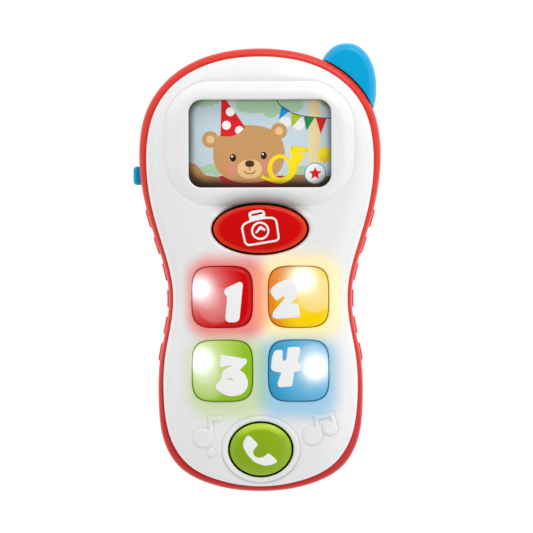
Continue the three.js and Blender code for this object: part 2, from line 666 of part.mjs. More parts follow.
// Drawn about the middle of its slot, with the wall on its left.
function slideKnob() {
  const neck = roundedRect(2 * SLIDE.halfLength, 2 * SLIDE.halfHeight, 1.3, 0, 0, 3);
  const tip = inset(neck, 0.7);
  const x = [SLIDE_PLATE.x - 0.5, SLIDE.tip - 0.8, SLIDE.tip];
  const body = loft([ring(neck, x[0]), ring(neck, x[1]), ring(tip, x[2])]);
  const turnedOut = new THREE.Matrix4().makeBasis(
    new THREE.Vector3(0, 1, 0), new THREE.Vector3(0, 0, -1), new THREE.Vector3(-1, 0, 0),
  );
  const knob = solid(geometryOf(body).applyMatrix4(turnedOut));
  const { halfLength, halfHeight } = SLIDE_PLATE;
  const inner = block(-SLIDE_PLATE.x, SLIDE_PLATE.t - SLIDE_PLATE.x, -halfLength, halfLength, -halfHeight, halfHeight);
  return cut(join(knob, inner), block(-41.5, -30, -1.3, 1.3, -1.1, 1.1));
}

// ---- assembly ----------------------------------------------------------------------------------

const phone = new THREE.Group();
phone.name = "toy_cell_phone";

function add(name, body, material, x = 0, y = 0, z = 0, parent = phone) {
  const mesh = new THREE.Mesh(geometryOf(body), material);
  mesh.name = name;
  mesh.position.set(x, y, z);
  parent.add(mesh);
  return mesh;
}

add("front_shell", frontShell(), WHITE);
add("rear_shell", rearShell(), RED);
add("antenna", antenna(), BLUE);

add("screen_window", plate(LENS), CLEAR, 0, SCREEN_Y, LENS.z);
add("picture_card", plate(CARD), PRINT, 0, SCREEN_Y, CARD.z);
add("card_holder", cardHolder(), WHITE, 0, SCREEN_Y, HOLDER.z);

for (const [name, b] of Object.entries(BUTTONS)) {
  add(name, button(b), BUTTON_MATERIALS[name], b.x, b.y, 0);
}

add("main_board", mainBoard(), BOARD, 0, 0, PCB.z);
add("keypad_mat", keypadMat(), SILICONE, 0, 0, MAT.z);
LED_SPOTS.forEach(([x, y], i) => add(`led_${i + 1}`, led(), LED_BODY, x, y, PCB_TOP + GAP));
add("sound_chip", turned([[0, -1.3], [2.6, -1], [3.8, 0], [0, 0]], 12), BLACK, 0, 6, PCB.z - GAP);

const capacitor = geometryOf(turned([[0, 0], [2.4, 0], [2.4, 7], [0, 7]], 12)).rotateX(-Math.PI / 2);
add("capacitor", solid(capacitor), BLACK, 12, 6, PCB.z - GAP - 2.4);

add("speaker_frame", speakerFrame(), STEEL, 0, SPEAKER.y, SPEAKER.z);
add("speaker_cone", speakerCone(), PAPER_CONE, 0, SPEAKER.y, SPEAKER.z);
const magnetHeight = SPEAKER.top - SPEAKER.z - 4 - GAP;
add("speaker_magnet", rod(0, 0, SPEAKER.magnetR, 0, magnetHeight, 20), STEEL, 0, SPEAKER.y, SPEAKER.z + 4 + GAP);

// The first cell points its nub down the phone and the second points up.
const springLength = 2.4;
const cells = [
  { x: -CELL.x, y: BAY.y0 + 0.3 + CONTACT_T + 0.5 + CELL.length, turn: Math.PI / 2 },
  { x: CELL.x, y: BAY.y1 - 0.3 - CONTACT_T - 0.4 - CELL.length, turn: -Math.PI / 2 },
];
cells.forEach(({ x, y, turn }, i) => {
  add(`battery_${i + 1}`, batteryCell(), CELL_SLEEVE, x, y, CELL.z).rotation.x = turn;
});
const contact = (halfX) => block(-halfX, halfX, 0, CONTACT_T, -4.5, 4.6);
add("battery_bridge", contact(10.4), NICKEL, 0, BAY.y0 + 0.3, CELL.z);
for (const [name, side] of [["battery_contact_minus", -1], ["battery_contact_plus", 1]]) {
  const tail = block(-1, 1, 0, CONTACT_T, 4, 5.1);
  add(name, join(contact(4.2), tail), NICKEL, side * CELL.x, BAY.y1 - 0.3 - CONTACT_T, CELL.z);
}
add("battery_spring_upper", batterySpring(springLength), NICKEL, -CELL.x, cells[0].y + 0.6, CELL.z);
add("battery_spring_lower", batterySpring(springLength), NICKEL, CELL.x, cells[1].y - 0.6, CELL.z).rotation.z = Math.PI;
add("battery_door", batteryDoor(), RED);

const switchMiddle = (SWITCH_BOARD.y0 + SWITCH_BOARD.y1) / 2;
const boardShape = cut(
  block(SWITCH_BOARD.x0, SWITCH_BOARD.x1, SWITCH_BOARD.y0, SWITCH_BOARD.y1, 0, SWITCH_BOARD.t),
  ...BOARD_POSTS.map((y) => rod(-33.5, y, 1.2, -1, 3, 8)),
);
add("switch_board", boardShape, BOARD, 0, 0, SWITCH_BOARD.z);
add("switch_body", block(-2.2, 2.2, -5.2, 5.2, 0, 4), STEEL, -35.2, switchMiddle, SWITCH_BOARD.z + SWITCH_BOARD.t + GAP);
add("switch_lever", block(-41.2, -37.7, -1, 1, -0.8, 0.8), BLACK, 0, SLIDE.y, SLIDE.z);
add("slide_knob", slideKnob(), BLUE, 0, SLIDE.y, SLIDE.z);

CASE_SCREWS.forEach(([x, y], i) => {
  add(`case_screw_${i + 1}`, screw(2.7, 1.8, 1.1, 12), STEEL, x, y, WELL.floor - GAP);
});
PCB_SCREWS.forEach(([x, y], i) => {
  add(`board_screw_${i + 1}`, screw(2.2, 1.2, 0.95, 6.5), STEEL, x, y, PCB.z - GAP);
});
[-1, 1].forEach((side, i) => {
  add(`holder_screw_${i + 1}`, screw(2.2, 1.2, 0.95, 3.6), STEEL, side * HOLDER.earX, SCREEN_Y, HOLDER.z - GAP);
});
add("battery_door_screw", screw(2.5, 1.4, 1.1, 9), STEEL, 0, DOOR_SCREW_Y, 2);

const boardUnder = PCB.z - 2 * GAP;
const speakerTop = SPEAKER.z + SPEAKER.rim + GAP + 0.8;
for (const [name, side, material] of [["speaker_wire_a", -1, WIRE_BLACK], ["speaker_wire_b", 1, WIRE_RED]]) {
  const route = [[3 * side, 29, speakerTop], [3.6 * side, 27, 8.5], [3 * side, 23, 12.6], [3 * side, 23, boardUnder]];
  add(name, wire(route, 0.5, 10), material);
}
for (const [name, side, material] of [["battery_wire_minus", -1, WIRE_BLACK], ["battery_wire_plus", 1, WIRE_RED]]) {
  const route = [[CELL.x * side, BAY.y1 - 0.3 + GAP, 11.6], [CELL.x * side, -6.5, 11.8], [5 * side, -2, 12.8], [5 * side, -2, boardUnder]];
  add(name, wire(route, 0.5, 10), material);
}
for (const [name, y, material] of [["switch_wire_a", 31, WIRE_BLACK], ["switch_wire_b", 34, WIRE_RED]]) {
  const end = y - 18.5;
  const route = [[-30.8, y, 13], [-29, y - 1, 14.2], [-25, y - 9, 13], [-16, end + 1, 12.6], [-15, end, 13], [-15, end, boardUnder]];
  add(name, wire(route, 0.5, 14), material);
}

export default phone;
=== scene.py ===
"""Toy cell phone that lies on its back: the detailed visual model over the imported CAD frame.

Sizes are in millimetres and are turned into metres as each mesh is made. +Z comes out of the keys and
+Y runs towards the antenna end.
"""

import json
import math

import bpy
import numpy as np
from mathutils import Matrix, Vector, kdtree
from mathutils.geometry import delaunay_2d_cdt


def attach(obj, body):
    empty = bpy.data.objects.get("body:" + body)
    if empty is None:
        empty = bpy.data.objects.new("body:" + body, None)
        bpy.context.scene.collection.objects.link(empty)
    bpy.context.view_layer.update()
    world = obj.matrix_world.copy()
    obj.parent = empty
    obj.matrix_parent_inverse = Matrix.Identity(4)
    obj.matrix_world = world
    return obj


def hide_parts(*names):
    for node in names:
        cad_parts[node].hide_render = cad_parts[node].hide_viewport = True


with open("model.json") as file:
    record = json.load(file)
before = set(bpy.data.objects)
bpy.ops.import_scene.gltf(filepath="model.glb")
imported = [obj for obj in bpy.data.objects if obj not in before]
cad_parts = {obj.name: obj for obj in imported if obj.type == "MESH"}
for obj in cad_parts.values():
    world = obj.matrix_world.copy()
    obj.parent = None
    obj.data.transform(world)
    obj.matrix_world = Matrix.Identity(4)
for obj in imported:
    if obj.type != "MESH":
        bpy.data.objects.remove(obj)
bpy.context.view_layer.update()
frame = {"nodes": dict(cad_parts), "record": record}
MM = 0.001
CAD_BEVEL = 0.00012  # metres, on the edges of the CAD nodes that stay
PICTURE_PAINTED_GLOW = 0.38  # share of the ink's own colour painted on as glow, though the card is no lamp

# ---- dimensions, most of them shared with the CAD model ------------------------------------------

CASE_HALF = [
    (0, 82.9), (13.6, 81.6), (25.7, 77.5), (35.8, 70), (42.6, 59.4), (45.2, 45.5), (43.7, 27.7),
    (38.7, 9.9), (34.6, -5.5), (34.6, -16.5), (37.6, -33), (38.2, -50), (36.5, -63.2), (30.9, -73.3),
    (18.7, -80.2), (0, -82.9),
]
FACE_HALF = [
    (0, 79.6), (12.5, 78.5), (23.6, 74.9), (33, 68.4), (39.5, 58.8), (42.4, 45), (41.2, 26.8),
    (36.7, 9.8), (32.9, -5.5), (32.9, -16), (35.7, -32.6), (36.1, -49.5), (33.6, -63), (27, -72.7),
    (15.5, -78.5), (0, -80.8),
]
OUTLINE_COUNT = 1080

SEAM = 0.14  # gap between the white face and the red rim
FACE_EDGE_Z, FACE_CROWN_Z, FACE_ROLL = 21.7, 28.5, 15
BEZEL = {"at": (-0.1, 46.8), "w": 70.0, "h": 46.2, "r": 17.3, "top": 30.3, "slope": 5.5}
WINDOW = {"at": (0, 46.6), "w": 52.6, "h": 32.4, "r": 4.8}
LENS_CEILING = 27.0
SLEEVE_BOTTOM = 21.2
FLANGE_BOTTOM, FLANGE_TOP = 19.7, 20.9
RIM_TOP, RIM_BEAD, LEDGE_Z = 21.8, 3.4, 17.4
BACK_WALL, BACK_RADIUS = 2.2, 12

# Each button: centre, half sizes of its hole, shape power, clearance, flange, how far it stands
# proud, tilt towards the bottom end, edge radius, dome height and body.
KEY_SPOTS = {"key_1": (-14.1, -10), "key_2": (14.1, -10), "key_3": (-14.1, -37.3), "key_4": (14.1, -37.3)}
BUTTONS = {
    **{key: (at, 11.35, 11.5, 4, 0.35, 1.2, 1.5, 0, 1.7, 0.55, f"{key}_cap")
       for key, at in KEY_SPOTS.items()},
    "camera_button": ((0, 15.1), 18.05, 9.6, 2, 0.7, 1.3, 1.3, 0, 1.5, 0.6, "camera_cap"),
    "call_button": ((0, -66.6), 12.15, 10.5, 2, 0.65, 1.0, 1.3, 0.16, 1.7, 0.5, "call_cap"),
}
BEVEL_WIDTHS = {**dict.fromkeys(KEY_SPOTS, 1.7), "camera_button": 2.4, "call_button": 3.4}
EDGE_RADII = {**dict.fromkeys(KEY_SPOTS, 0.45), "camera_button": 1.5, "call_button": 1.1}  # of the holes
COLLAR = {"a": 14.6, "b": 12.1, "rise": 0.5}
LED_SPOTS = {"key_1": (-22.2, -6.9), "key_2": (15.7, -3.6), "key_3": (-21.9, -33.2), "key_4": (20.4, -36.2)}

CASE_SCREWS = [(-17, 72.5), (17, 72.5), (-28.5, -58), (28.5, -58)]
DOOR = {"x": 12.1, "y0": -68.3, "y1": -6.9, "r": 4, "gap": 0.25}
DOOR_SCREW_Y = -64.3
DOOR_BOX = {"at": (0, (DOOR["y0"] + DOOR["y1"]) / 2), "w": 2 * (DOOR["x"] + DOOR["gap"]),
            "h": DOOR["y1"] - DOOR["y0"] + 2 * DOOR["gap"], "r": DOOR["r"] + DOOR["gap"]}
DOOR_FRAME = {**DOOR_BOX, "w": DOOR_BOX["w"] + 3, "h": DOOR_BOX["h"] + 4, "r": 5}
WELL_RADIUS, WELL_ROOF = 3.3, 9.5  # of the wells that the case screws sit in
SPEAKER_Y = 44
GRILLE_HOLE = 1.3
KNOB_Y, KNOB_Z = 35.5, 14.5
PICTURE_BOTTOM, PICTURE_TOP = 24.5, 24.9

FLOOR_GLOW = 0.92
SKY_TILT = (0.04, 0.16, 0)  # which side of the sky is brighter
SKY_RAMPS = [  # by the sine of the elevation: from, to, and the strength at each end
    (0.0, 0.5, 0.6, 1.27),
    (0.55, 0.985, 1.0, 0.09),
]
LAMPS = [
    ("key_light", (0.25, 0.6, 0.5), (0.4, 0.4), 1.3),
    ("fill_light", (0.4, -0.25, 0.65), (0.5, 0.5), 0.55),
]

# The painted light that each lit key throws on the face round it, a tint of the white and a glow: centre,
# colour, strength, reach and glow.
PAINTED_KEY_HALOS = {
    "key_1": ((-12.1, -10.2), "#f9807a", 0.88, 7.0, 0.11),
    "key_2": ((14.4, -10.1), "#fff0a8", 0.8, 9.0, 0.2),
    "key_3": ((-12.0, -39.8), "#ccdfa0", 0.72, 7.0, 0.13),
    "key_4": ((13.8, -39.8), "#90cbe9", 0.78, 7.0, 0.14),
}

# ---- curves ------------------------------------------------------------------------------------


def spline(points, count):
    """A smooth closed curve through the points, as evenly spaced points."""
    p = np.array(points, float)
    n = len(p)
    h = np.linalg.norm(np.roll(p, -1, 0) - p, axis=1)
    system, target = np.zeros((n, n)), np.zeros((n, 2))
    for i in range(n):
        before, after = h[i - 1], h[i]
        system[i, i - 1] += after
        system[i, i] += 2 * (before + after)
        system[i, (i + 1) % n] += before
        target[i] = 3 * (before * (p[(i + 1) % n] - p[i]) / after + after * (p[i] - p[i - 1]) / before)
    slope = np.linalg.solve(system, target)
    t = np.linspace(0, 1, 60, endpoint=False)[:, None]
    fine = []
    for i in range(n):
        a, b, sa, sb = p[i], p[(i + 1) % n], slope[i] * h[i], slope[(i + 1) % n] * h[i]
        fine.append(a * (2 * t**3 - 3 * t**2 + 1) + sa * (t**3 - 2 * t**2 + t) + b * (3 * t**2 - 2 * t**3)
                    + sb * (t**3 - t**2))
    return resampled(np.concatenate(fine), count)


def resampled(loop, count, closed=True):
    ends = np.vstack([loop, loop[:1]]) if closed else loop
    along = np.r_[0, np.cumsum(np.linalg.norm(np.diff(ends, axis=0), axis=1))]
    at = np.linspace(0, along[-1], count, endpoint=not closed)
    return np.c_[np.interp(at, along, ends[:, 0]), np.interp(at, along, ends[:, 1])]


def mirrored(half):
    """The whole outline, anticlockwise, from the points of its right half."""
    return [(-x, y) for x, y in half] + [(x, y) for x, y in half[-2:0:-1]]


def moved(loop, d):
    """An anticlockwise loop moved outwards by d."""
    t = np.roll(loop, -1, 0) - np.roll(loop, 1, 0)
    t /= np.linalg.norm(t, axis=1)[:, None]
    return loop + d * np.c_[t[:, 1], -t[:, 0]]


def superellipse(a, b, power, count, at=(0, 0)):
    angle = np.linspace(0, 2 * math.pi, count, endpoint=False)
    c, s = np.cos(angle), np.sin(angle)
    scale = (np.abs(c) ** power + np.abs(s) ** power) ** (-1 / power)
    return np.c_[at[0] + a * scale * c, at[1] + b * scale * s]


def rounded_rect(w, h, r, at=(0, 0), steps=10, count=None):
    loop = []
    for k, (sx, sy) in enumerate([(1, 1), (-1, 1), (-1, -1), (1, -1)]):
        for i in range(steps + 1):
            angle = math.pi / 2 * (k + i / steps)
            loop.append((at[0] + sx * (w / 2 - r) + r * math.cos(angle),
                         at[1] + sy * (h / 2 - r) + r * math.sin(angle)))
    return resampled(np.array(loop), count) if count else np.array(loop)


def box_loop(box, out, steps, count):
    """The outline of a rounded box moved outwards, as evenly spaced points."""
    return rounded_rect(box["w"] + 2 * out, box["h"] + 2 * out, box["r"] + out, box["at"], steps, count)


def circle(x, y, r, count=32):
    return superellipse(r, r, 2, count, (x, y))


def rounded(points, r, step=0.35):
    """A polygon with its corners rounded off, one radius for all or one for each corner."""
    p = np.array(points, float)
    n = len(p)
    radii = [r] * n if np.isscalar(r) else r
    loop = []
    for i in range(n):
        corner, before, after = p[i], p[i - 1] - p[i], p[(i + 1) % n] - p[i]
        lb, la = np.linalg.norm(before), np.linalg.norm(after)
        cut = min(radii[i], 0.49 * lb, 0.49 * la)
        a, b = corner + before / lb * cut, corner + after / la * cut
        for t in np.linspace(0, 1, max(2, int(cut * 1.6 / step) + 2)):
            loop.append(a * (1 - t) ** 2 + 2 * corner * t * (1 - t) + b * t**2)
    loop = np.array(loop)
    x, y = loop[:, 0], loop[:, 1]
    if np.dot(x, np.roll(y, -1)) < np.dot(y, np.roll(x, -1)):
        loop = loop[::-1]
    return loop


def stroke(points, width, smooth=True, count=24):
    """The outline of a line of constant width with round ends."""
    p = np.array(points, float)
    if smooth and len(p) > 2:
        p = bent(p, count)
    t = np.gradient(p, axis=0)
    t /= np.linalg.norm(t, axis=1)[:, None]
    side = np.c_[t[:, 1], -t[:, 0]] * width / 2
    ends = []
    for centre, start in ((p[-1], side[-1]), (p[0], -side[0])):
        angle = math.atan2(start[1], start[0])
        ends.append(np.array([centre + width / 2 * np.array([math.cos(angle + a), math.sin(angle + a)])
                              for a in np.linspace(0, math.pi, 8)[1:-1]]))
    return np.vstack([p + side, ends[0], (p - side)[::-1], ends[1]])


def bent(points, count):
    """An open smooth curve through the points."""
    p = np.array(points, float)
    q = np.vstack([2 * p[0] - p[1], p, 2 * p[-1] - p[-2]])
    out = []
    for i in range(1, len(q) - 2):
        for t in np.linspace(0, 1, 12, endpoint=False):
            out.append(0.5 * (2 * q[i] + (q[i + 1] - q[i - 1]) * t
                              + (2 * q[i - 1] - 5 * q[i] + 4 * q[i + 1] - q[i + 2]) * t**2
                              + (3 * q[i] - q[i - 1] - 3 * q[i + 1] + q[i + 2]) * t**3))
    out.append(p[-1])
    return resampled(np.array(out), count, closed=False)


def nearest(xy, loop):
    """The distance from each point to a closed loop, and the direction from the loop to the point."""
    distance, direction = straight_nearest(xy, loop[::6])
    close = distance < 4
    distance[close], direction[close] = straight_nearest(xy[close], loop)
    return distance, direction


def straight_nearest(xy, loop):
    start, side = loop, np.roll(loop, -1, 0) - loop
    length = (side**2).sum(1)
    distance, direction = np.zeros(len(xy)), np.zeros((len(xy), 2))
    for rows in np.array_split(np.arange(len(xy)), max(1, len(xy) // 500)):
        off = xy[rows][:, None] - start[None]
        t = np.clip((off * side[None]).sum(2) / length[None], 0, 1)
        away = off - t[..., None] * side[None]
        squared = (away**2).sum(2)
        k = squared.argmin(1)
        picked = np.arange(len(rows))
        distance[rows] = np.sqrt(squared[picked, k])
        direction[rows] = away[picked, k] / np.maximum(distance[rows], 1e-9)[:, None]
    return distance, direction


CASE = spline(mirrored(CASE_HALF), OUTLINE_COUNT)
FACE = spline(mirrored(FACE_HALF), OUTLINE_COUNT)

# ---- meshes --------------------------------------------------------------------------------------


def area(outer, holes=(), guides=(), spacing=1.2, patches=(), clearance=0.55):
    """A triangulated plane area: inside outer and outside holes, with edges along every guide.

    patches are (x0, x1, y0, y1, spacing) boxes with a finer grid. Gives the points, the triangles,
    the point numbers along outer, and for each triangle the numbers of the guides that hold it.
    """
    loops = [outer, *holes, *guides]
    points, faces = [], []
    for loop in loops:
        faces.append(list(range(len(points), len(points) + len(loop))))
        points += [Vector(p) for p in loop]
    tree = kdtree.KDTree(len(points))
    for i, p in enumerate(points):
        tree.insert((p.x, p.y, 0), i)
    tree.balance()
    low, high = outer.min(0), outer.max(0)
    boxes = [(low[0], high[0], low[1], high[1], spacing), *patches]
    for k, (x0, x1, y0, y1, s) in enumerate(boxes):
        rows = int((y1 - y0) / (s * 0.866)) + 1
        for j in range(rows):
            y = y0 + (j + 0.5) * s * 0.866
            for i in range(int((x1 - x0) / s) + 1):
                x = x0 + (i + 0.25 + 0.5 * (j % 2)) * s
                if k == 0 and any(b[0] < x < b[1] and b[2] < y < b[3] for b in patches):
                    continue
                if x > x1 or y > y1 or tree.find((x, y, 0))[2] < clearance * s:
                    continue
                points.append(Vector((x, y)))
    out, _, tris, source, _, owners = delaunay_2d_cdt(points, [], faces, 0, 1e-6, True)
    xy = np.array([tuple(p) for p in out])
    hole_ids = set(range(1, 1 + len(holes)))
    kept, guide_ids = [], []
    for tri, ids in zip(tris, owners):
        ids = set(ids)
        if 0 in ids and not ids & hole_ids:
            kept.append(tri)
            guide_ids.append([i - 1 - len(holes) for i in ids if i > len(holes)])
    kept = np.array(kept)
    a, b, c = xy[kept[:, 0]], xy[kept[:, 1]], xy[kept[:, 2]]
    turn = (b[:, 0] - a[:, 0]) * (c[:, 1] - a[:, 1]) - (b[:, 1] - a[:, 1]) * (c[:, 0] - a[:, 0])
    kept[turn < 0] = kept[turn < 0][:, ::-1]
    used = np.unique(kept)
    number = np.full(len(xy), -1)
    number[used] = np.arange(len(used))
    place = {}
    for new, old in enumerate(source):
        for o in old:
            place[o] = number[new]
    return {"xy": xy[used], "tris": number[kept], "rim": [place[i] for i in range(len(outer))],
            "guides": guide_ids}


def mesh_object(name, verts, faces, materials, face_materials=None, angle=35):
    mesh = bpy.data.meshes.new(name)
    mesh.from_pydata((np.array(verts) * MM).tolist(), [], [list(map(int, f)) for f in faces])
    mesh.update()
    for m in materials:
        mesh.materials.append(m)
    if face_materials is not None:
        mesh.polygons.foreach_set("material_index", np.array(face_materials, np.int32))
    mesh.shade_smooth()
    mesh.set_sharp_from_angle(angle=math.radians(angle))
    piece = bpy.data.objects.new(name, mesh)
    bpy.context.scene.collection.objects.link(piece)
    return piece


def slab_mesh(a, top, bottom, wall_rings=(), shift=None):
    """Points and faces of a closed solid over an area, between a top and a bottom height.

    wall_rings, from the top down, stand between the two along the outer edge. shift moves the top's
    points sideways.
    """
    xy, tris = a["xy"], a["tris"]
    n = len(xy)
    z_top, z_bottom = top(xy), bottom(xy)
    upper = xy if shift is None else shift(xy)
    verts = [*np.c_[upper, z_top], *np.c_[xy, z_bottom]]
    faces = [tuple(t) for t in tris] + [(p + n, r + n, q + n) for p, q, r in tris]
    edges = {(int(t[i]), int(t[(i + 1) % 3])) for t in tris for i in range(3)}
    edge = [(p, q) for p, q in edges if (q, p) not in edges]
    rows = [list(a["rim"])]
    if len(wall_rings):
        rim = set(a["rim"])
        following = dict(zip(a["rim"], a["rim"][1:] + a["rim"][:1]))
        edge = [(p, q) for p, q in edge if not (p in rim and following.get(p) == q)]
        for ring in wall_rings:
            rows.append(list(range(len(verts), len(verts) + len(ring))))
            verts += list(ring)
        rows.append([i + n for i in a["rim"]])
    for p, q in edge:
        faces.append((q, p, p + n, q + n))
    walls = []
    for upper_row, lower_row in zip(rows, rows[1:]):
        for i in range(len(upper_row)):
            j = (i + 1) % len(upper_row)
            walls.append((upper_row[j], upper_row[i], lower_row[i], lower_row[j]))
    return verts, faces, walls, rows


def slab(name, a, top, bottom, materials, angle=35, **kw):
    verts, faces, walls, _ = slab_mesh(a, top, bottom, **kw)
    return mesh_object(name, verts, faces + walls, materials, angle=angle)


def level(z):
    return lambda xy: np.full(len(xy), float(z))


def loft_mesh(rings):
    """Points and faces through rings of equal count, anticlockwise seen from the last, with caps."""
    n = len(rings[0])
    verts = [p for ring in rings for p in ring]
    faces = []
    for k in range(len(rings) - 1):
        for i in range(n):
            j = (i + 1) % n
            faces.append((k * n + i, k * n + j, (k + 1) * n + j, (k + 1) * n + i))
    last = (len(rings) - 1) * n
    verts += [np.mean(rings[0], axis=0), np.mean(rings[-1], axis=0)]
    for i in range(n):
        j = (i + 1) % n
        faces.append((j, i, len(verts) - 2))
        faces.append((last + i, last + j, len(verts) - 1))
    return verts, faces


def loft(name, rings, materials, angle=35):
    verts, faces = loft_mesh(rings)
    return mesh_object(name, verts, faces, materials, angle=angle)


def at_height(loop, z):
    return np.c_[loop, np.full(len(loop), z) if np.isscalar(z) else z]


def cut(piece, tool):
    m = piece.modifiers.new("cut", "BOOLEAN")
    m.operation, m.object, m.solver = "DIFFERENCE", tool, "EXACT"
    view = bpy.context.view_layer
    view.update()
    done = bpy.data.meshes.new_from_object(piece.evaluated_get(bpy.context.evaluated_depsgraph_get()))
    piece.modifiers.clear()
    piece.data = done
    bpy.data.objects.remove(tool)
    piece.data.shade_smooth()
    piece.data.set_sharp_from_angle(angle=math.radians(35))
    return piece


def finished(piece, body, slot, *nodes):
    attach(piece, body)
    if nodes:
        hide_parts(*nodes)
    return piece


# ---- materials -----------------------------------------------------------------------------------


class Nodes:
    """A short way to wire the nodes of a new material, or of a world."""

    def __init__(self, name, world=None):
        self.owner = world or bpy.data.materials.new(name)
        self.owner.use_nodes = True
        self.tree = self.owner.node_tree
        self.tree.nodes.clear()
        self.coords = self.add("ShaderNodeTexCoord").outputs["Generated" if world else "Object"]

    def add(self, kind, links=None, **settings):
        node = self.tree.nodes.new(kind)
        for key, value in settings.items():
            setattr(node, key, value)
        for key, value in (links or {}).items():
            socket = node.inputs[key]
            if isinstance(value, bpy.types.NodeSocket):
                self.tree.links.new(value, socket)
            else:
                socket.default_value = value
        return node

    def math(self, operation, a, b=0.0, clamp=False):
        return self.add("ShaderNodeMath", {0: a, 1: b}, operation=operation, use_clamp=clamp).outputs[0]

    def times(self, a, b, clamp=False):
        return self.math("MULTIPLY", a, b, clamp)

    def vector(self, operation, a, b=(0, 0, 0), out=0):
        return self.add("ShaderNodeVectorMath", {0: a, 1: b}, operation=operation).outputs[out]

    def axis(self, number, vector=None):
        """One coordinate of a vector, or else of the place on the piece."""
        return self.add("ShaderNodeSeparateXYZ",
                        {0: self.coords if vector is None else vector}).outputs[number]

    def offset(self, at):
        return self.vector("SUBTRACT", self.coords, (at[0] * MM, at[1] * MM, 0))

    def away(self, at):
        """The distance from a point, in the plane of the face."""
        flat = self.vector("MULTIPLY", self.coords, (1, 1, 0))
        return self.vector("DISTANCE", flat, (at[0] * MM, at[1] * MM, 0), out=1)

    def glow(self, at, reach):
        """1 at a point of the face, and falling off softly with distance from it."""
        scaled = self.math("DIVIDE", self.away(at), reach * MM)
        return self.math("EXPONENT", self.times(self.times(scaled, scaled), -1.0))

    def oval(self, on, gap=0.0):
        """rho, which is 1 along a button's outline, and the sine of the direction from its centre."""
        at, a, b = BUTTONS[on][:3]
        spot = self.vector("MULTIPLY", self.offset(at), (1 / ((a - gap) * MM), 1 / ((b - gap) * MM), 0))
        rho = self.vector("LENGTH", spot, out=1)
        return rho, self.math("DIVIDE", self.axis(1, spot), rho)

    def noise(self, scale, detail=2.0, roughness=0.5, stretch=None):
        where = self.vector("MULTIPLY", self.coords, stretch) if stretch else self.coords
        links = {"Vector": where, "Scale": scale, "Detail": detail, "Roughness": roughness}
        return self.add("ShaderNodeTexNoise", links).outputs[0]

    def ramp(self, value, low, high, start=0.0, end=1.0):
        links = {0: value, 1: start, 2: end, 3: low, 4: high}
        return self.add("ShaderNodeMapRange", links, interpolation_type="SMOOTHSTEP").outputs[0]

    def mix(self, share, a, b, blend="MIX"):
        return self.add("ShaderNodeMix", {0: share, 6: a, 7: b}, data_type="RGBA",
                        blend_type=blend).outputs[2]

    def bump(self, height, strength, distance):
        return self.add("ShaderNodeBump",
                        {"Height": height, "Strength": strength, "Distance": distance}).outputs[0]

    def finish(self, base, rough, normal=None, coat=(None, None), specular=None, light=None, strength=1.0,
               metallic=None):
        """Closes a material; coat is its weight and roughness, light its own light and strength of that."""
        sockets = {"Base Color": base, "Roughness": rough, "Normal": normal, "Coat Weight": coat[0],
                   "Coat Roughness": coat[1], "Specular IOR Level": specular, "Metallic": metallic,
                   "Emission Color": light, "Emission Strength": None if light is None else strength}
        used = {key: value for key, value in sockets.items() if value is not None}
        bsdf = self.add("ShaderNodeBsdfPrincipled", used)
        self.add("ShaderNodeOutputMaterial", {"Surface": bsdf.outputs[0]})
        return self.owner


def rgb(text):
    """A linear colour from an sRGB hex string."""
    values = [int(text[i:i + 2], 16) / 255 for i in (1, 3, 5)]
    return (*[((v + 0.055) / 1.055) ** 2.4 if v > 0.04045 else v / 12.92 for v in values], 1.0)


def shaded(colour, factor):
    return (*[min(1.0, c * factor) for c in colour[:3]], 1.0)


def moulded(name, colour, roughness=0.25, coat=0.3, peel=0.05, specular=0.5, glow=0.0, foot=None):
    """Injection-moulded plastic: faint flow marks, fine orange peel and haze; foot is a painted shade that
    darkens its lower end.
    """
    m = Nodes(name)
    c = rgb(colour)
    flow = m.ramp(m.noise(22, 3, 0.55), 0.0, 1.0, 0.15, 0.85)
    base = m.mix(flow, shaded(c, 0.98), shaded(c, 1.02))
    # painted shade: the lower end fades to the darker foot colour
    if foot:
        base = m.mix(m.ramp(m.axis(1), 1.0, 0.0, -80 * MM, 5 * MM), base, rgb(foot))
    rough = m.ramp(m.noise(95, 4, 0.6), roughness * 0.93, roughness * 1.07, 0.15, 0.85)
    normal = m.bump(m.noise(900, 2, 0.5), peel, 0.00006)
    return m.finish(base, rough, normal, (coat, 0.08), specular, base, glow)


def shell_plastic():
    """White face plastic with a painted shade above the camera button and a painted glow of the lit keys'
    light round their edges.
    """
    m = Nodes("face_white")
    flow = m.ramp(m.noise(20, 3, 0.55), 0.0, 1.0, 0.1, 0.9)
    base = m.mix(flow, rgb("#f2f2f2"), rgb("#f3f3f3"))
    # painted shade in the dip between the bezel and the camera button: grey multiplied into the white on the
    # upper side of the button
    rho, up = m.oval("camera_button")
    painted_valley_shade = m.times(m.ramp(rho, 1.0, 0.0, 1.0, 1.7), m.ramp(up, 0.0, 1.0, 0.5, 0.95))
    base = m.mix(painted_valley_shade, base, rgb("#b2b8b8"), "MULTIPLY")
    # painted light of each lit key: the white is tinted with its colour and made to glow, fading with
    # distance from the key
    glow, round_by = (0, 0, 0, 1), 5
    for name, (at, tint, strength, reach, gain) in PAINTED_KEY_HALOS.items():
        a, b = BUTTONS[name][1:3]
        away = m.vector("ABSOLUTE", m.vector("MULTIPLY", m.offset(at), (1, 1, 0)))
        corner = m.vector("SUBTRACT", away, ((a - round_by) * MM, (b - round_by) * MM, 0))
        outside = m.vector("LENGTH", m.vector("MAXIMUM", corner, (0, 0, 0)), out=1)
        faded = m.ramp(outside, 1.0, 0.0, round_by * MM, (round_by + reach) * MM)
        base = m.mix(m.times(faded, strength), base, rgb(tint), "MULTIPLY")
        glow = m.mix(faded, glow, shaded(rgb(tint), gain), "ADD")
    rough = m.ramp(m.noise(80, 4, 0.6), 0.255, 0.285, 0.1, 0.9)
    return m.finish(base, rough, m.bump(m.noise(850, 2, 0.5), 0.02, 0.00006), (0.25, 0.08), light=glow)


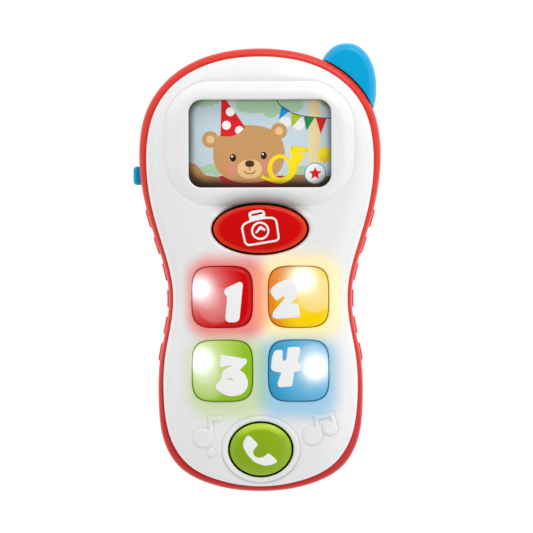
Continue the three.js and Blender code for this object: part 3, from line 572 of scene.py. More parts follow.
def key_plastic(name, deep, mid, pale, discs, reach=(6, 19), core=None):
    """Translucent key plastic, brightest over its lamp, with pale discs where the light pools in it.

    deep is the colour far from the lamp or from core, mid nearer and pale close to it.
    """
    m = Nodes(name + "_lit")
    spot = LED_SPOTS[name]
    cloudy = m.ramp(m.noise(160, 3, 0.6), 0.85, 1.1, 0.25, 0.75)
    near = m.ramp(m.away(core or spot), 1.0, 0.0, reach[0] * MM, reach[1] * MM)
    colour = m.mix(near, rgb(deep), rgb(mid))
    for at, r, strength in discs:
        d = m.away(at)
        edge = m.ramp(d, 1.0, 0.0, (r - 0.6) * MM, (r + 0.9) * MM)
        share = m.times(edge, m.ramp(d, strength, strength * 0.6, 0.0, r * MM))
        colour = m.mix(share, colour, rgb(pale))
    colour = m.mix(m.times(m.glow(spot, 6.2), cloudy, True), colour, rgb(pale))
    light = m.mix(m.glow(spot, 3.8), m.mix(0.55, (0, 0, 0, 1), colour), (1.35, 1.35, 1.35, 1))
    # painted shade on the key's sides in its gap: below the top its colour turns to half its deep tone and
    # its glow dims
    lit = m.ramp(m.axis(2), 0.25, 1.0, 26.6 * MM, 27.9 * MM)
    light = m.mix(lit, (0, 0, 0, 1), light)
    base = m.mix(lit, shaded(rgb(deep), 0.5), m.mix(0.45, (0, 0, 0, 1), colour))
    rough = m.ramp(m.noise(120, 3, 0.5), 0.08, 0.16, 0.3, 0.7)
    return m.finish(base, rough, m.bump(m.noise(700, 2, 0.5), 0.03, 0.00006), (0.06, 0.04), 0.13, light)


def button_plastic(name, on, middle, rim, dark, rim_from=0.8, gloss=0.22, highlight_crescent=None):
    """Glossy button plastic: a painted sheen makes the rim of the cap a little lighter, the optional crescent
    colour is a painted highlight on its upper side, and a painted shade darkens the side in its gap.
    """
    m = Nodes(name)
    y, gap, tilt = BUTTONS[on][0][1], BUTTONS[on][4], BUTTONS[on][7]
    level_z = m.math("SUBTRACT", m.axis(2), m.times(m.math("SUBTRACT", m.axis(1), y * MM), tilt))
    rho, up = m.oval(on, gap)
    flow = m.ramp(m.noise(40, 3, 0.5), 0.0, 1.0, 0.3, 0.7)
    base = m.mix(flow, shaded(rgb(middle), 0.95), shaded(rgb(middle), 1.04))
    # painted sheen: the rim of the cap is lighter
    base = m.mix(m.ramp(rho, 0.0, 1.0, rim_from, 1.0), base, rgb(rim))
    # painted highlight: a lighter crescent on the upper side of the rim
    if highlight_crescent:
        share = m.times(m.ramp(rho, 0.0, 1.0, 0.72, 0.84), m.ramp(up, 0.0, 1.0, 0.45, 0.95))
        base = m.mix(share, base, rgb(highlight_crescent))
    top = float(button_profile(on)[2](np.array(1.0)))
    # painted shade: below its top the side in the gap takes the dark colour
    base = m.mix(m.ramp(level_z, 0.0, 1.0, (top - 0.5) * MM, (top + 0.1) * MM), rgb(dark), base)
    rough = m.ramp(m.noise(110, 3, 0.5), 0.14, 0.24, 0.3, 0.7)
    return m.finish(base, rough, m.bump(m.noise(800, 2, 0.5), 0.02, 0.00005), (gloss / 2, 0.05), gloss)


def metal(name, colour, roughness=0.3, brushed=True):
    m = Nodes(name)
    grain = m.noise(1400, 3, 0.6, (1, 0.08, 1) if brushed else None)
    base = m.mix(grain, shaded(rgb(colour), 0.85), rgb(colour))
    rough = m.ramp(grain, roughness * 0.7, roughness * 1.3)
    return m.finish(base, rough, m.bump(grain, 0.1, 0.00003), metallic=1.0)


def clear_plastic():
    """A thin clear window: see-through, with a gloss that grows at low angles."""
    m = Nodes("window_clear")
    scuff = m.ramp(m.noise(260, 5, 0.7), 0.03, 0.12, 0.35, 0.75)
    gloss = m.add("ShaderNodeBsdfGlossy", {"Color": (0.92, 0.95, 0.97, 1), "Roughness": scuff}).outputs[0]
    clear = m.add("ShaderNodeBsdfTransparent", {"Color": (0.985, 0.99, 0.99, 1)}).outputs[0]
    facing = m.add("ShaderNodeLayerWeight", {"Blend": 0.5}).outputs["Facing"]
    share = m.math("ADD", m.times(m.math("POWER", facing, 5.0), 0.96), 0.04)
    shader = m.add("ShaderNodeMixShader", {0: share, 1: clear, 2: gloss}).outputs[0]
    m.add("ShaderNodeOutputMaterial", {"Surface": shader})
    return m.owner


def printed(name, colour, low=None, spots=()):
    """Ink on coated card with a fine screen grain, a painted shade darkening it near the frame and a painted
    glow of its own colour; low is its colour at the bottom.

    spots are (centre, reach, strength, colour) soft patches.
    """
    m = Nodes(name)
    grain = m.noise(2600, 2, 0.6)
    c = rgb(colour)
    base = m.mix(grain, shaded(c, 0.97), shaded(c, 1.03))
    if low:
        base = m.mix(m.ramp(m.axis(1), 1.0, 0.0, 30 * MM, 38 * MM), base, rgb(low))
    for centre, reach, strength, tint in spots:
        base = m.mix(m.times(m.glow(centre, reach), strength, True), base, rgb(tint))
    # painted shade of the frame's recess: the ink darkens towards the window's edge, shifted a little up and
    # right so the bottom and left darken more
    (x, y), w, h, r = WINDOW["at"], WINDOW["w"], WINDOW["h"], 7.0
    off = m.vector("ABSOLUTE", m.vector("MULTIPLY", m.offset((x + 0.3, y + 1.2)), (1, 1, 0)))
    corner = m.vector("SUBTRACT", off, ((w / 2 - r) * MM, (h / 2 - r) * MM, 0))
    outside = m.vector("LENGTH", m.vector("MAXIMUM", corner, (0, 0, 0)), out=1)
    shade = m.ramp(m.math("SUBTRACT", r * MM, outside), 0.14, 1.0, -0.8 * MM, 2.6 * MM)
    grey = m.add("ShaderNodeCombineXYZ", {0: shade, 1: shade, 2: shade}).outputs[0]
    base = m.mix(1.0, base, grey, "MULTIPLY")
    rough, normal = m.ramp(grain, 0.4, 0.55), m.bump(grain, 0.04, 0.00002)
    # painted light: the inks glow with their own colour
    return m.finish(base, rough, normal, specular=0.35, light=base, strength=PICTURE_PAINTED_GLOW)


def board_mask():
    """Green solder mask over faint copper tracks."""
    m = Nodes("board_green")
    black, white = (0, 0, 0, 1), (1, 1, 1, 1)
    tracks = m.add("ShaderNodeTexBrick",
                   {"Vector": m.coords, "Scale": 210.0, "Mortar Size": 0.08, "Color1": black,
                                          "Color2": black, "Mortar": white}).outputs[0]
    base = m.mix(tracks, rgb("#1f6b3a"), rgb("#3f9a5a"))
    return m.finish(base, m.ramp(m.noise(900, 3, 0.5), 0.25, 0.4), m.bump(tracks, 0.2, 0.00003))


def rubbery(name, colour, roughness=0.6):
    m = Nodes(name)
    grain = m.noise(1200, 4, 0.6)
    base = m.mix(grain, shaded(rgb(colour), 0.85), shaded(rgb(colour), 1.05))
    rough = m.ramp(grain, roughness * 0.85, min(1, roughness * 1.15))
    return m.finish(base, rough, m.bump(grain, 0.15, 0.00004))


def battery_sleeve():
    """A printed shrink sleeve with one broad band."""
    m = Nodes("cell_sleeve")
    band = m.math("GREATER_THAN", m.axis(1), -22.5 * MM)
    grain = m.noise(500, 3, 0.5)
    base = m.mix(band, rgb("#2f5e9c"), rgb("#c8ccd0"))
    base = m.mix(m.times(grain, 0.15), base, rgb("#1a2a40"))
    return m.finish(base, m.ramp(grain, 0.2, 0.35), metallic=0.2)


# ---- the face ------------------------------------------------------------------------------------


def crown(y):
    low = 3.5 * (np.maximum(0, -30 - y) / 50) ** 2
    high = 3.0 * (np.maximum(0, y - 45) / 37) ** 2
    return FACE_CROWN_Z - low - high


def rounded_rect_depth(xy, box):
    """How far inside a rounded rectangle each point is; negative outside."""
    q = np.abs(xy - np.array(box["at"])) - np.array([box["w"] / 2 - box["r"], box["h"] / 2 - box["r"]])
    return box["r"] - np.linalg.norm(np.maximum(q, 0), axis=1) - np.minimum(q.max(1), 0)


def plain_face(xy):
    """The face without its bezel, ring and notes."""
    d, _ = nearest(xy, FACE)
    left = 1 - np.clip(d, 0, FACE_ROLL) / FACE_ROLL
    return FACE_EDGE_Z + (crown(xy[:, 1]) - FACE_EDGE_Z) * np.sqrt(np.maximum(0, 1 - left**2.6))


def bezel_height(xy, face):
    """The raised frame round the window, with a crease at its foot and a dip above the camera button."""
    depth = rounded_rect_depth(xy, BEZEL)
    share = np.clip(depth / BEZEL["slope"], 0, 1)
    frame_top = face + (BEZEL["top"] - np.maximum(face, LENS_CEILING - 0.9)) * np.sin(math.pi / 2 * share)
    crease = 0.2 * np.exp(-((depth + 0.15) / 0.35) ** 2)
    (_, y), a, b = BUTTONS["camera_button"][:3]
    out = (button_rho(xy, "camera_button") - 1) * (a + b) / 2
    dip = 1.7 * smoothstep(1 - out / 4.2) * smoothstep((xy[:, 1] - y - 4) / 4)
    return frame_top - crease - dip


def smoothstep(x):
    t = np.clip(x, 0, 1)
    return t * t * (3 - 2 * t)


def quarter(t):
    """How far a quarter-round edge has dropped: 0 at t = 0 and 1 at t = 1."""
    return 1 - np.sqrt(np.maximum(0, 1 - t**2))


def away_from(xy, x, y):
    return np.linalg.norm(xy - np.array([x, y]), axis=1)


def ellipse_depth(xy, at, a, b):
    q = (xy - np.array(at)) / np.array([a, b])
    r = np.linalg.norm(q, axis=1)
    return (1 - r) * min(a, b)


def bar_depth(xy, start, end, width):
    s, e = np.array(start, float), np.array(end, float)
    t = np.clip(((xy - s) @ (e - s)) / ((e - s) @ (e - s)), 0, 1)
    return width / 2 - np.linalg.norm(xy - s - t[:, None] * (e - s), axis=1)


def note_depth(xy):
    """How far inside the moulded notes each point is."""
    parts = [
        ellipse_depth(xy, (-21.3, -62.1), 3.55, 3.3),
        bar_depth(xy, (-18.2, -61.6), (-19.1, -54.6), 1.1),
        bar_depth(xy, (-18.8, -55.3), (-15.1, -54.9), 1.3),
        ellipse_depth(xy, (-18.3, -67.7), 1.4, 1.35),
        ellipse_depth(xy, (19.1, -61.5), 3.4, 3.2),
        ellipse_depth(xy, (25.6, -58.7), 2.6, 2.4),
        bar_depth(xy, (21.9, -61), (20.1, -54.4), 1.1),
        bar_depth(xy, (27.6, -58.5), (26.1, -53.7), 1.1),
        bar_depth(xy, (20.2, -54.9), (26.0, -53.6), 1.3),
    ]
    return np.max(parts, axis=0)


def button_rho(xy, name):
    """0 at the centre of a button's hole and 1 along its edge."""
    (x, y), a, b, power = BUTTONS[name][:4]
    q = np.abs(xy - np.array([x, y])) / np.array([a, b])
    return (q**power).sum(1) ** (1 / power)


def face_top(xy):
    z = plain_face(xy)
    z = bezel_height(xy, z)
    note = note_depth(xy)
    z += 0.6 * smoothstep(note / 0.4 + 0.5) - 0.26 * np.exp(-((note + 0.35) / 0.28) ** 2)
    (_, y), a, b = BUTTONS["call_button"][:3]
    out = (button_rho(xy, "call_button") - 1) * (a + b) / 2
    ring = (COLLAR["a"] + COLLAR["b"] - a - b) / 2
    groove = 0.45 + 0.35 * smoothstep((y + 4 - xy[:, 1]) / 10)
    lift = COLLAR["rise"] * smoothstep((ring + 0.35 - out) / 0.7)
    z += lift - groove * np.exp(-((out - ring - 0.2) / 0.3) ** 2)
    for name, radius in EDGE_RADII.items():
        half = (BUTTONS[name][1] + BUTTONS[name][2]) / 2
        inwards = 1 - np.clip((button_rho(xy, name) - 1) * half / radius, 0, 1)
        z -= radius * quarter(inwards)
    inwards = 1 - np.clip(-rounded_rect_depth(xy, WINDOW) / 0.8, 0, 1)
    return z - 0.8 * quarter(inwards)


def face_under(xy):
    """The inside of the face: a wall's thickness down, with sleeves round the buttons."""
    z = plain_face(xy) - 2.2
    z = np.where(rounded_rect_depth(xy, BEZEL) > 1.5, np.maximum(z, LENS_CEILING), z)
    for name in BUTTONS:
        half = (BUTTONS[name][1] + BUTTONS[name][2]) / 2
        near = (button_rho(xy, name) - 1) * half < 0.9
        z = np.where(near, SLEEVE_BOTTOM, z)
    return np.where(nearest(xy, FACE)[0] < 1.9, LEDGE_Z + 0.3, z)


def button_loop(name, out, count):
    (x, y), a, b, power = BUTTONS[name][:4]
    half = (a + b) / 2
    return superellipse(a * (1 + out / half), b * (1 + out / half), power, count, (x, y))


def front_shell():
    edge = moved(FACE, -SEAM)
    guides = [moved(edge, -d) for d in (0.04, 0.14, 0.3, 0.52, 0.8, 1.15, 1.6, 2.2, 3.0, 4.0)]
    holes, count = [], 200
    for name in BUTTONS:
        holes.append(button_loop(name, 0, count))
        radius = EDGE_RADII[name]
        guides += [button_loop(name, radius * s, count) for s in (0.06, 0.25, 0.5, 0.75, 1.0)]
        guides += [button_loop(name, 0.95, count), button_loop(name, 1.05, count)]
        if name == "camera_button":
            guides += [button_loop(name, d, count) for d in (1.7, 2.5, 3.4, 4.3)]
    holes.append(box_loop(WINDOW, 0, 14, 300))
    guides += [box_loop(WINDOW, d, 14, 300) for d in (0.05, 0.2, 0.4, 0.6, 0.8)]
    guides += [box_loop(BEZEL, -d, 40, 330) for d in (-0.9, -0.5, -0.15, 0.2, 0.55, 1.0, 1.6, 2.4, 3.6)]
    call = BUTTONS["call_button"][1:3]
    ring = (COLLAR["a"] + COLLAR["b"] - sum(call)) / 2
    guides += [button_loop("call_button", d, count) for d in (
        ring - 0.6, ring - 0.35, ring - 0.12, ring + 0.04, ring + 0.2, ring + 0.36, ring + 0.55, ring + 0.9)]
    patches = [(-26.5, -13.8, -70.2, -52, 0.33), (14.8, 29.2, -66.2, -51.2, 0.33)]
    a = area(edge, holes, guides, 1.1, patches)
    verts, faces, _, _ = slab_mesh(a, face_top, face_under)
    # The walls of the holes get a painted shadow, those round the keys a painted glow of the keys' light, and
    # the outer edge stays white.
    sides = np.array([f[0] for f in faces[2 * len(a["tris"]):]])
    at = a["xy"][sides % len(a["xy"])]
    shade = (nearest(at, edge)[0] > 0.5).astype(int)
    for i, name in enumerate(KEYS):
        shade = np.where(np.abs(button_rho(at, name) - 1) < 0.05, 2 + i, shade)
    shades = [0] * (2 * len(a["tris"])) + list(shade)
    piece = mesh_object("front_shell", verts, faces, [WHITE, DARK, *KEY_GAP_GLOWS], shades, angle=40)
    return finished(piece, "case", "face_white", "front_shell")


# ---- buttons -------------------------------------------------------------------------------------


def bevel_share(name):
    """How much of a button's half width its rounded edge takes up."""
    a, b, _, gap = BUTTONS[name][1:5]
    return BEVEL_WIDTHS[name] / ((a + b) / 2 - gap)


def button_profile(name):
    """The button's top height as a function of rho of its own outline, and its half sizes."""
    (x, y), a, b, _, gap, _, proud, _, radius, dome, _ = BUTTONS[name]
    top = float(plain_face(np.array([[x, y]], float))[0]) + proud
    share = bevel_share(name)

    def height(rho):
        u = np.clip((rho - (1 - share)) / share, 0, 1)
        return top - dome * rho**2 - radius * quarter(u)

    return a - gap, b - gap, height


def button_top(name):
    """The height of a button's surface over any point of it."""
    (x, y), tilt, power = BUTTONS[name][0], BUTTONS[name][7], BUTTONS[name][3]
    a, b, height = button_profile(name)

    def surface(xy):
        q = xy - np.array([x, y])
        rho = ((np.abs(q) / np.array([a, b])) ** power).sum(1) ** (1 / power)
        return height(rho) + tilt * q[:, 1]

    return surface


def button(name, material, slot):
    (x, y), _, _, power, _, flange, _, tilt, _, _, body = BUTTONS[name]
    a, b, height = button_profile(name)
    share = bevel_share(name)
    n = 160
    unit = superellipse(1, 1, power, n)

    def ring(rho, z, lean=True, grow=0.0):
        flat = unit * np.array([a + grow, b + grow]) * rho
        return np.c_[flat + np.array([x, y]), z + (tilt * flat[:, 1] if lean else 0 * flat[:, 1])]

    u = np.sin(np.linspace(math.pi / 2, 0, 9))
    rhos = [1 - share + share * v for v in u] + list(np.linspace(1 - share, 0.06, 9)[1:])
    rings = [ring(1, z, False, grow) for z, grow in (
        (FLANGE_BOTTOM, -1.8), (FLANGE_BOTTOM, flange - 0.2), (FLANGE_BOTTOM + 0.2, flange),
        (FLANGE_TOP - 0.2, flange), (FLANGE_TOP, flange - 0.2), (FLANGE_TOP, 0))]
    rings += [ring(rho, float(height(np.array(rho)))) for rho in rhos]
    roof = float(height(np.array(0.0))) - 2.4 - abs(tilt) * b
    hollow = [ring(1, roof, False, -1.8)]
    verts, faces = loft_mesh(hollow + rings)
    piece = mesh_object(name, verts, faces, [material], angle=50)
    return finished(piece, body, slot, name)


def decal(name, on, outlines, holes=(), proud=0.16, spacing=0.8):
    """A raised print on a button: outlines joined, holes cut out, wrapped on the surface."""
    loops = [dense(o) for o in outlines]
    low = np.min([o.min(0) for o in loops], axis=0) - 1
    high = np.max([o.max(0) for o in loops], axis=0) + 1
    frame_loop = np.array([(low[0], low[1]), (high[0], low[1]), (high[0], high[1]), (low[0], high[1])])
    cuts = [dense(h) for h in holes]
    a = area(frame_loop, (), [*loops, *cuts], spacing)
    n, k = len(loops), len(loops) + len(cuts)
    keep = [any(g < n for g in ids) and not any(n <= g < k for g in ids) for ids in a["guides"]]
    tris = a["tris"][np.array(keep)]
    used = np.unique(tris)
    number = np.full(len(a["xy"]), -1)
    number[used] = np.arange(len(used))
    part = {"xy": a["xy"][used], "tris": number[tris], "rim": []}
    surface = button_top(on)
    boundary = np.vstack(loops + cuts)

    def top(xy):
        tree_distance = np.min(np.linalg.norm(xy[:, None] - boundary[None], axis=2), axis=1)
        return surface(xy) + proud * (0.45 + 0.55 * smoothstep(tree_distance / 0.3))

    piece = slab(name, part, top, lambda xy: surface(xy) - 0.25, [PRINT_WHITE], angle=60)
    return finished(piece, BUTTONS[on][10], "face_white")


def dense(loop, step=0.3):
    length = np.linalg.norm(np.roll(loop, -1, 0) - loop, axis=1).sum()
    return resampled(loop, max(12, int(length / step)))


# ---- the rear shell ------------------------------------------------------------------------------

RIB_Y = [19.3 - 10 * i for i in range(6)]
RIB_HALF, RIB_PROUD, RIB_LOW, RIB_HIGH = 3.5, 0.68, 7.9, 17.6
POST_RADIUS, POST_TOP = 4.59, 17.0  # of the posts that the case screws go into
SEAT_INSIDE, SEAT_OUTSIDE, SEAT_TOP = 18.29, 19.59, 5.5  # of the ring that holds the speaker


def rib_push(loop, z):
    """How far the grip ribs push the case's wall out at each point of a ring."""
    push = np.zeros(len(loop))
    for y in RIB_Y:
        along = smoothstep((RIB_HALF - np.abs(loop[:, 1] - y)) / 0.5)
        push = np.maximum(push, along)
    push[np.abs(loop[:, 0]) < 20] = 0
    return RIB_PROUD * push * smoothstep((z - RIB_LOW) / 0.9) * smoothstep((RIB_HIGH - z) / 0.9)


def back_height(xy):
    """The outside of the back: flat, with a quarter-round border, screw wells pressed into it."""
    d = nearest(xy, CASE)[0]
    u = np.clip(BACK_RADIUS - d, 0, BACK_RADIUS)
    z = BACK_RADIUS - np.sqrt(BACK_RADIUS**2 - u**2)
    for x, y in CASE_SCREWS:
        r = away_from(xy, x, y)
        lip = 0.4 * quarter(np.clip(1 - (r - WELL_RADIUS) / 0.4, 0, 1))
        z = np.where(r < WELL_RADIUS, WELL_ROOF, z + lip)
    door = rounded_rect_depth(xy, DOOR_BOX)
    edge = np.clip(1 + door / 0.5, 0, 1)
    z += 0.5 * quarter(edge)
    for x, y in grille():
        z += 0.3 * quarter(np.clip(1 - (away_from(xy, x, y) - GRILLE_HOLE) / 0.3, 0, 1))
    return z


def grille():
    spots = []
    for k, radius in enumerate((0, 5.2, 10.4)):
        for i in range(max(1, 6 * k)):
            angle = 2 * math.pi * i / max(1, 6 * k)
            spots.append((radius * math.cos(angle), SPEAKER_Y + radius * math.sin(angle)))
    return spots


def inner_floor(xy):
    """The inside of the back, with the screw posts, the speaker's seat and the door's hook pockets."""
    d = nearest(xy, CASE)[0]
    u = np.clip(BACK_RADIUS - d, 0, BACK_RADIUS)
    z = BACK_WALL + BACK_RADIUS - np.sqrt(BACK_RADIUS**2 - u**2)
    for x, y in CASE_SCREWS:
        z = np.where(away_from(xy, x, y) < POST_RADIUS, POST_TOP, z)
    r = away_from(xy, 0, SPEAKER_Y)
    z = np.where((r > SEAT_INSIDE) & (r < SEAT_OUTSIDE), SEAT_TOP, z)
    hook = (np.abs(np.abs(xy[:, 0]) - 7) < 2.81) & (xy[:, 1] < -3.89) & (xy[:, 1] > -8)
    z = np.where(hook, 0.7, z)
    frame_depth = rounded_rect_depth(xy, DOOR_FRAME)
    return np.where((frame_depth > 0.01) & ~hook & (xy[:, 1] < -6.3), 3.4, z)


def inner_shift(xy):
    """Draws the inside of the border in, so that the wall keeps its thickness there."""
    d, direction = nearest(xy, CASE)
    return xy + direction * (1.6 * np.clip(1 - d / 8, 0, 1) ** 2)[:, None]


def rear_shell():
    start = 0.8
    outer = moved(CASE, -start)
    guides = [moved(CASE, -d) for d in (1.05, 1.4, 1.9)]
    guides += [resampled(moved(CASE, -d), OUTLINE_COUNT // 2) for d in (2.6, 3.5, 4.7, 6.2, 8.0, 10.0, 12.0)]
    holes = [box_loop(DOOR_BOX, 0, 12, 200)]
    guides += [box_loop(DOOR_BOX, d, 12, 200) for d in (0.1, 0.3, 0.5)]
    guides.append(box_loop(DOOR_FRAME, 0, 12, 200))
    for side in (-1, 1):
        guides.append(rounded_rect(5.6, 2.7, 0.1, (side * 7, -5.25), 2))
    for x, y in grille():
        holes.append(circle(x, y, GRILLE_HOLE, 22))
        guides += [circle(x, y, r, 22) for r in (1.34, 1.45, 1.6)]
    for x, y in CASE_SCREWS:
        holes.append(circle(x, y, 1.6, 24))
        guides += [circle(x, y, r, 48) for r in (3.28, 3.31, 3.4, 3.55, 3.7, 4.57, 4.62)]
    guides += [circle(0, SPEAKER_Y, r, 90) for r in (18.27, 18.31, 19.57, 19.61)]
    a = area(outer, holes, guides, 1.7)

    angles = np.linspace(math.asin((BACK_RADIUS - start) / BACK_RADIUS), math.pi / 2, 6)[1:]
    outside = []
    for t in angles:
        inset, z = BACK_RADIUS * (1 - math.sin(t)), BACK_RADIUS * (1 - math.cos(t))
        outside.append((moved(CASE, -inset), z))
    outside += [(CASE, z) for z in (12.1, 13, 14, 15, 15.9, 16.3, 16.6, 16.8, 17.0, 17.2, 17.4, 17.65, 18.4)]
    rings = [at_height(moved(loop, 0) + (moved(loop, 1) - loop) * rib_push(loop, z)[:, None], z)
             for loop, z in outside]
    for t in np.linspace(0, math.pi / 2, 14)[1:]:
        share = 1 - math.cos(t)
        rings.append(at_height(CASE + share * (FACE - CASE), RIM_TOP - RIM_BEAD + RIM_BEAD * math.sin(t)))
    rings += [at_height(FACE, z) for z in (RIM_TOP - 0.25, 19.5, LEDGE_Z)]
    inner = moved(FACE, -1)
    slot_rows = [17.2, 16.9, 14.5, 12.1, 11.4]
    rings += [at_height(inner, LEDGE_Z), *[at_height(level_by_slot(inner), z) for z in slot_rows]]
    verts, faces, walls, rows = slab_mesh(a, inner_floor, back_height, rings[::-1], inner_shift)
    walls = slot_through(walls, rows, rings)
    piece = mesh_object("rear_shell", verts, faces + walls, [RED], angle=40)
    return finished(piece, "case", "case_red", "rear_shell")


def level_by_slot(inner):
    """Slides the wall's inside points along it by the slot until each is level with its outside point."""
    share = smoothstep((CASE[:, 1] - 16) / 10) * smoothstep((58 - CASE[:, 1]) / 10) * (CASE[:, 0] < 0)
    y = inner[:, 1] + share * (CASE[:, 1] - inner[:, 1])
    side = inner[(inner[:, 0] < 0) & (inner[:, 1] > 5) & (inner[:, 1] < 66)]
    side = side[np.argsort(side[:, 1])]
    slid = np.c_[np.interp(y, side[:, 1], side[:, 0]), y]
    return np.where((share > 0)[:, None], slid, inner)


def slot_through(walls, rows, rings):
    """Opens the slide switch's slot: drops the wall's faces there and joins its outside to its inside."""
    n = OUTLINE_COUNT
    columns = [i for i in range(n) if CASE[i, 0] < 0 and 29.5 < CASE[i, 1] < 41.5]
    inside = set(columns[:-1])
    first, last = columns[0], columns[-1]
    heights = [rings[::-1][k][0, 2] for k in range(len(rings))]
    ids = rows[1:-1]
    half = next(k for k in range(len(heights)) if heights[k] > 19)
    low = [k for k in range(half) if 12.05 < heights[k] < 16.95]
    high = [k for k in range(half, len(heights)) if 12.05 < heights[k] < 16.95]
    gone = set()
    for group in (low, high):
        for k in group[:-1]:
            for i in inside:
                gone.add((ids[k][i], ids[k + 1][i]))
    kept = [w for w in walls if (w[1], w[2]) not in gone]
    # low holds the inside rows, from the bottom up; high the outside rows, from the top down
    inner_low, inner_high, outer_high, outer_low = ids[low[0]], ids[low[-1]], ids[high[0]], ids[high[-1]]
    for i in sorted(inside):
        j = i + 1
        kept.append((inner_low[i], inner_low[j], outer_low[j], outer_low[i]))
        kept.append((inner_high[j], inner_high[i], outer_high[i], outer_high[j]))
    kept.append(tuple([ids[k][first] for k in low] + [ids[k][first] for k in high]))
    kept.append(tuple(([ids[k][last] for k in low] + [ids[k][last] for k in high])[::-1]))
    return kept


def battery_bay():
    """The box over the cells, part of the rear shell's moulding."""
    outer = rounded_rect(25.6, 53, 1.6, (0, -34.2), 6)
    inner = rounded_rect(23.2, 50.6, 0.6, (0, -34.2), 6)
    roof = {"at": (0, -34.2), "w": 23.2, "h": 50.6, "r": 0.6}
    a = area(outer, (), [inner, moved(inner, 0.04)], 4)
    piece = slab("battery_bay", a, level(14.3),
                 lambda xy: np.where(rounded_rect_depth(xy, roof) > -0.01, 13.3, 3.5), [RED])
    return finished(piece, "case", "case_red", "rear_shell")


def battery_door():
    shape = {"at": DOOR_BOX["at"], "w": 2 * DOOR["x"], "h": DOOR["y1"] - DOOR["y0"], "r": DOOR["r"]}
    guides = [box_loop(shape, -d, 12, 200) for d in (0.05, 0.2, 0.45)]
    guides += [circle(0, DOOR_SCREW_Y, s, 40) for s in (2.88, 2.92, 3.05, 3.3, 3.98, 4.02)]
    ridges = [-20.0 + 2.2 * i for i in range(5)]
    patch = (-7, 7, -22, -9, 0.5)
    a = area(box_loop(shape, 0, 12, 200), [circle(0, DOOR_SCREW_Y, 1.5, 24)], guides, 1.6, [patch])

    def under(xy):
        depth = rounded_rect_depth(xy, shape)
        edge = 1 - np.clip(depth / 0.45, 0, 1)
        z = 0.2 + 0.45 * quarter(edge)
        for y in ridges:
            z = z + 0.45 * smoothstep((bar_depth(xy, (-4.5, y), (4.5, y), 1.2)) / 0.5)
        s = away_from(xy, 0, DOOR_SCREW_Y)
        lip = 0.4 * quarter(np.clip(1 - (s - 2.9) / 0.4, 0, 1))
        return np.where(s < 2.9, 2.3, z + lip)

    def over(xy):
        return np.where(away_from(xy, 0, DOOR_SCREW_Y) < 4, 3.9, 1.8)

    piece = slab("battery_door", a, over, under, [RED], angle=40)
    finished(piece, "case", "case_red", "battery_door")
    for side in (-1, 1):
        hook = rounded_rect(5, 2.6, 0.6, (side * 7, DOOR["y1"] + 1.15), 4)
        piece = slab(f"battery_door_hook_{'lr'[side > 0]}", area(hook, spacing=2), level(1.75), level(1.05),
                     [RED])
        finished(piece, "case", "case_red", "battery_door")


def antenna():
    rings = []
    at, a, b, power, middle, half = (32.6, 68.3), 11.3, 16.9, 2.15, 14.2, 6
    for t in np.sin(np.linspace(-math.pi / 2, math.pi / 2, 31)):
        inset = 3.6 * (1 - math.sqrt(max(0, 1 - abs(t) ** 2.4)))
        rings.append(at_height(superellipse(a - inset, b - inset, power, 200, at), middle + half * t))
    for s in (0.85, 0.6, 0.35, 0.12):
        loop = superellipse((a - 3.6) * s, (b - 3.6) * s, power, 200, at)
        rings.append(at_height(loop, middle + half + 0.25 * (1 - s * s)))
        rings.insert(0, at_height(loop, middle - half - 0.25 * (1 - s * s)))
    pad = loft("antenna", rings, [BLUE])
    body = spline(mirrored(CASE_HALF), 300)
    steps = [(moved(body, 0.25 - BACK_RADIUS * (1 - math.sin(t))), BACK_RADIUS * (1 - math.cos(t)))
             for t in np.linspace(0.5, math.pi / 2, 8)]
    steps += [(moved(body, 0.25), z) for z in (15.0, 18.4, 22.0)]
    tool = loft("antenna_tool", [at_height(loop, z) for loop, z in steps], [BLUE])
    return finished(cut(pad, tool), "case", "trim_blue", "antenna")


def slide_knob():
    """The switch's knob: a rounded button outside, a sliding plate inside and a pocket for the lever."""
    def ring(x, half_y, half_z, r):
        loop = rounded_rect(2 * half_y, 2 * half_z, r, (0, 0), 8)
        return np.c_[np.full(len(loop), x), KNOB_Y - loop[:, 0], KNOB_Z + loop[:, 1]]

    rings = [ring(*row) for row in (
        (-41.5, 1.3, 1.1, 0.2), (-38.3, 1.3, 1.1, 0.2), (-38.3, 8.0, 2.6, 0.3), (-38.5, 8.2, 2.8, 0.4),
        (-39.1, 8.2, 2.8, 0.4), (-39.3, 8.0, 2.6, 0.3), (-39.3, 3.4, 2.1, 1.3), (-45.3, 3.5, 2.1, 1.3))]
    for t in np.linspace(0, math.pi / 2, 9):
        edge = 1.3 * (1 - math.cos(t))
        rings.append(ring(-46.3 - 1.3 * math.sin(t), 3.5 - edge, 2.1 - edge * 0.8,
                          1.3 - 0.7 * (1 - math.cos(t))))
    rings.append(ring(-47.6, 1.0, 0.4, 0.2))
    piece = loft("slide_knob", rings, [BLUE], angle=40)
    return finished(piece, "switch_slide", "trim_blue", "slide_knob")


# ---- prints on the buttons -------------------------------------------------------------------------

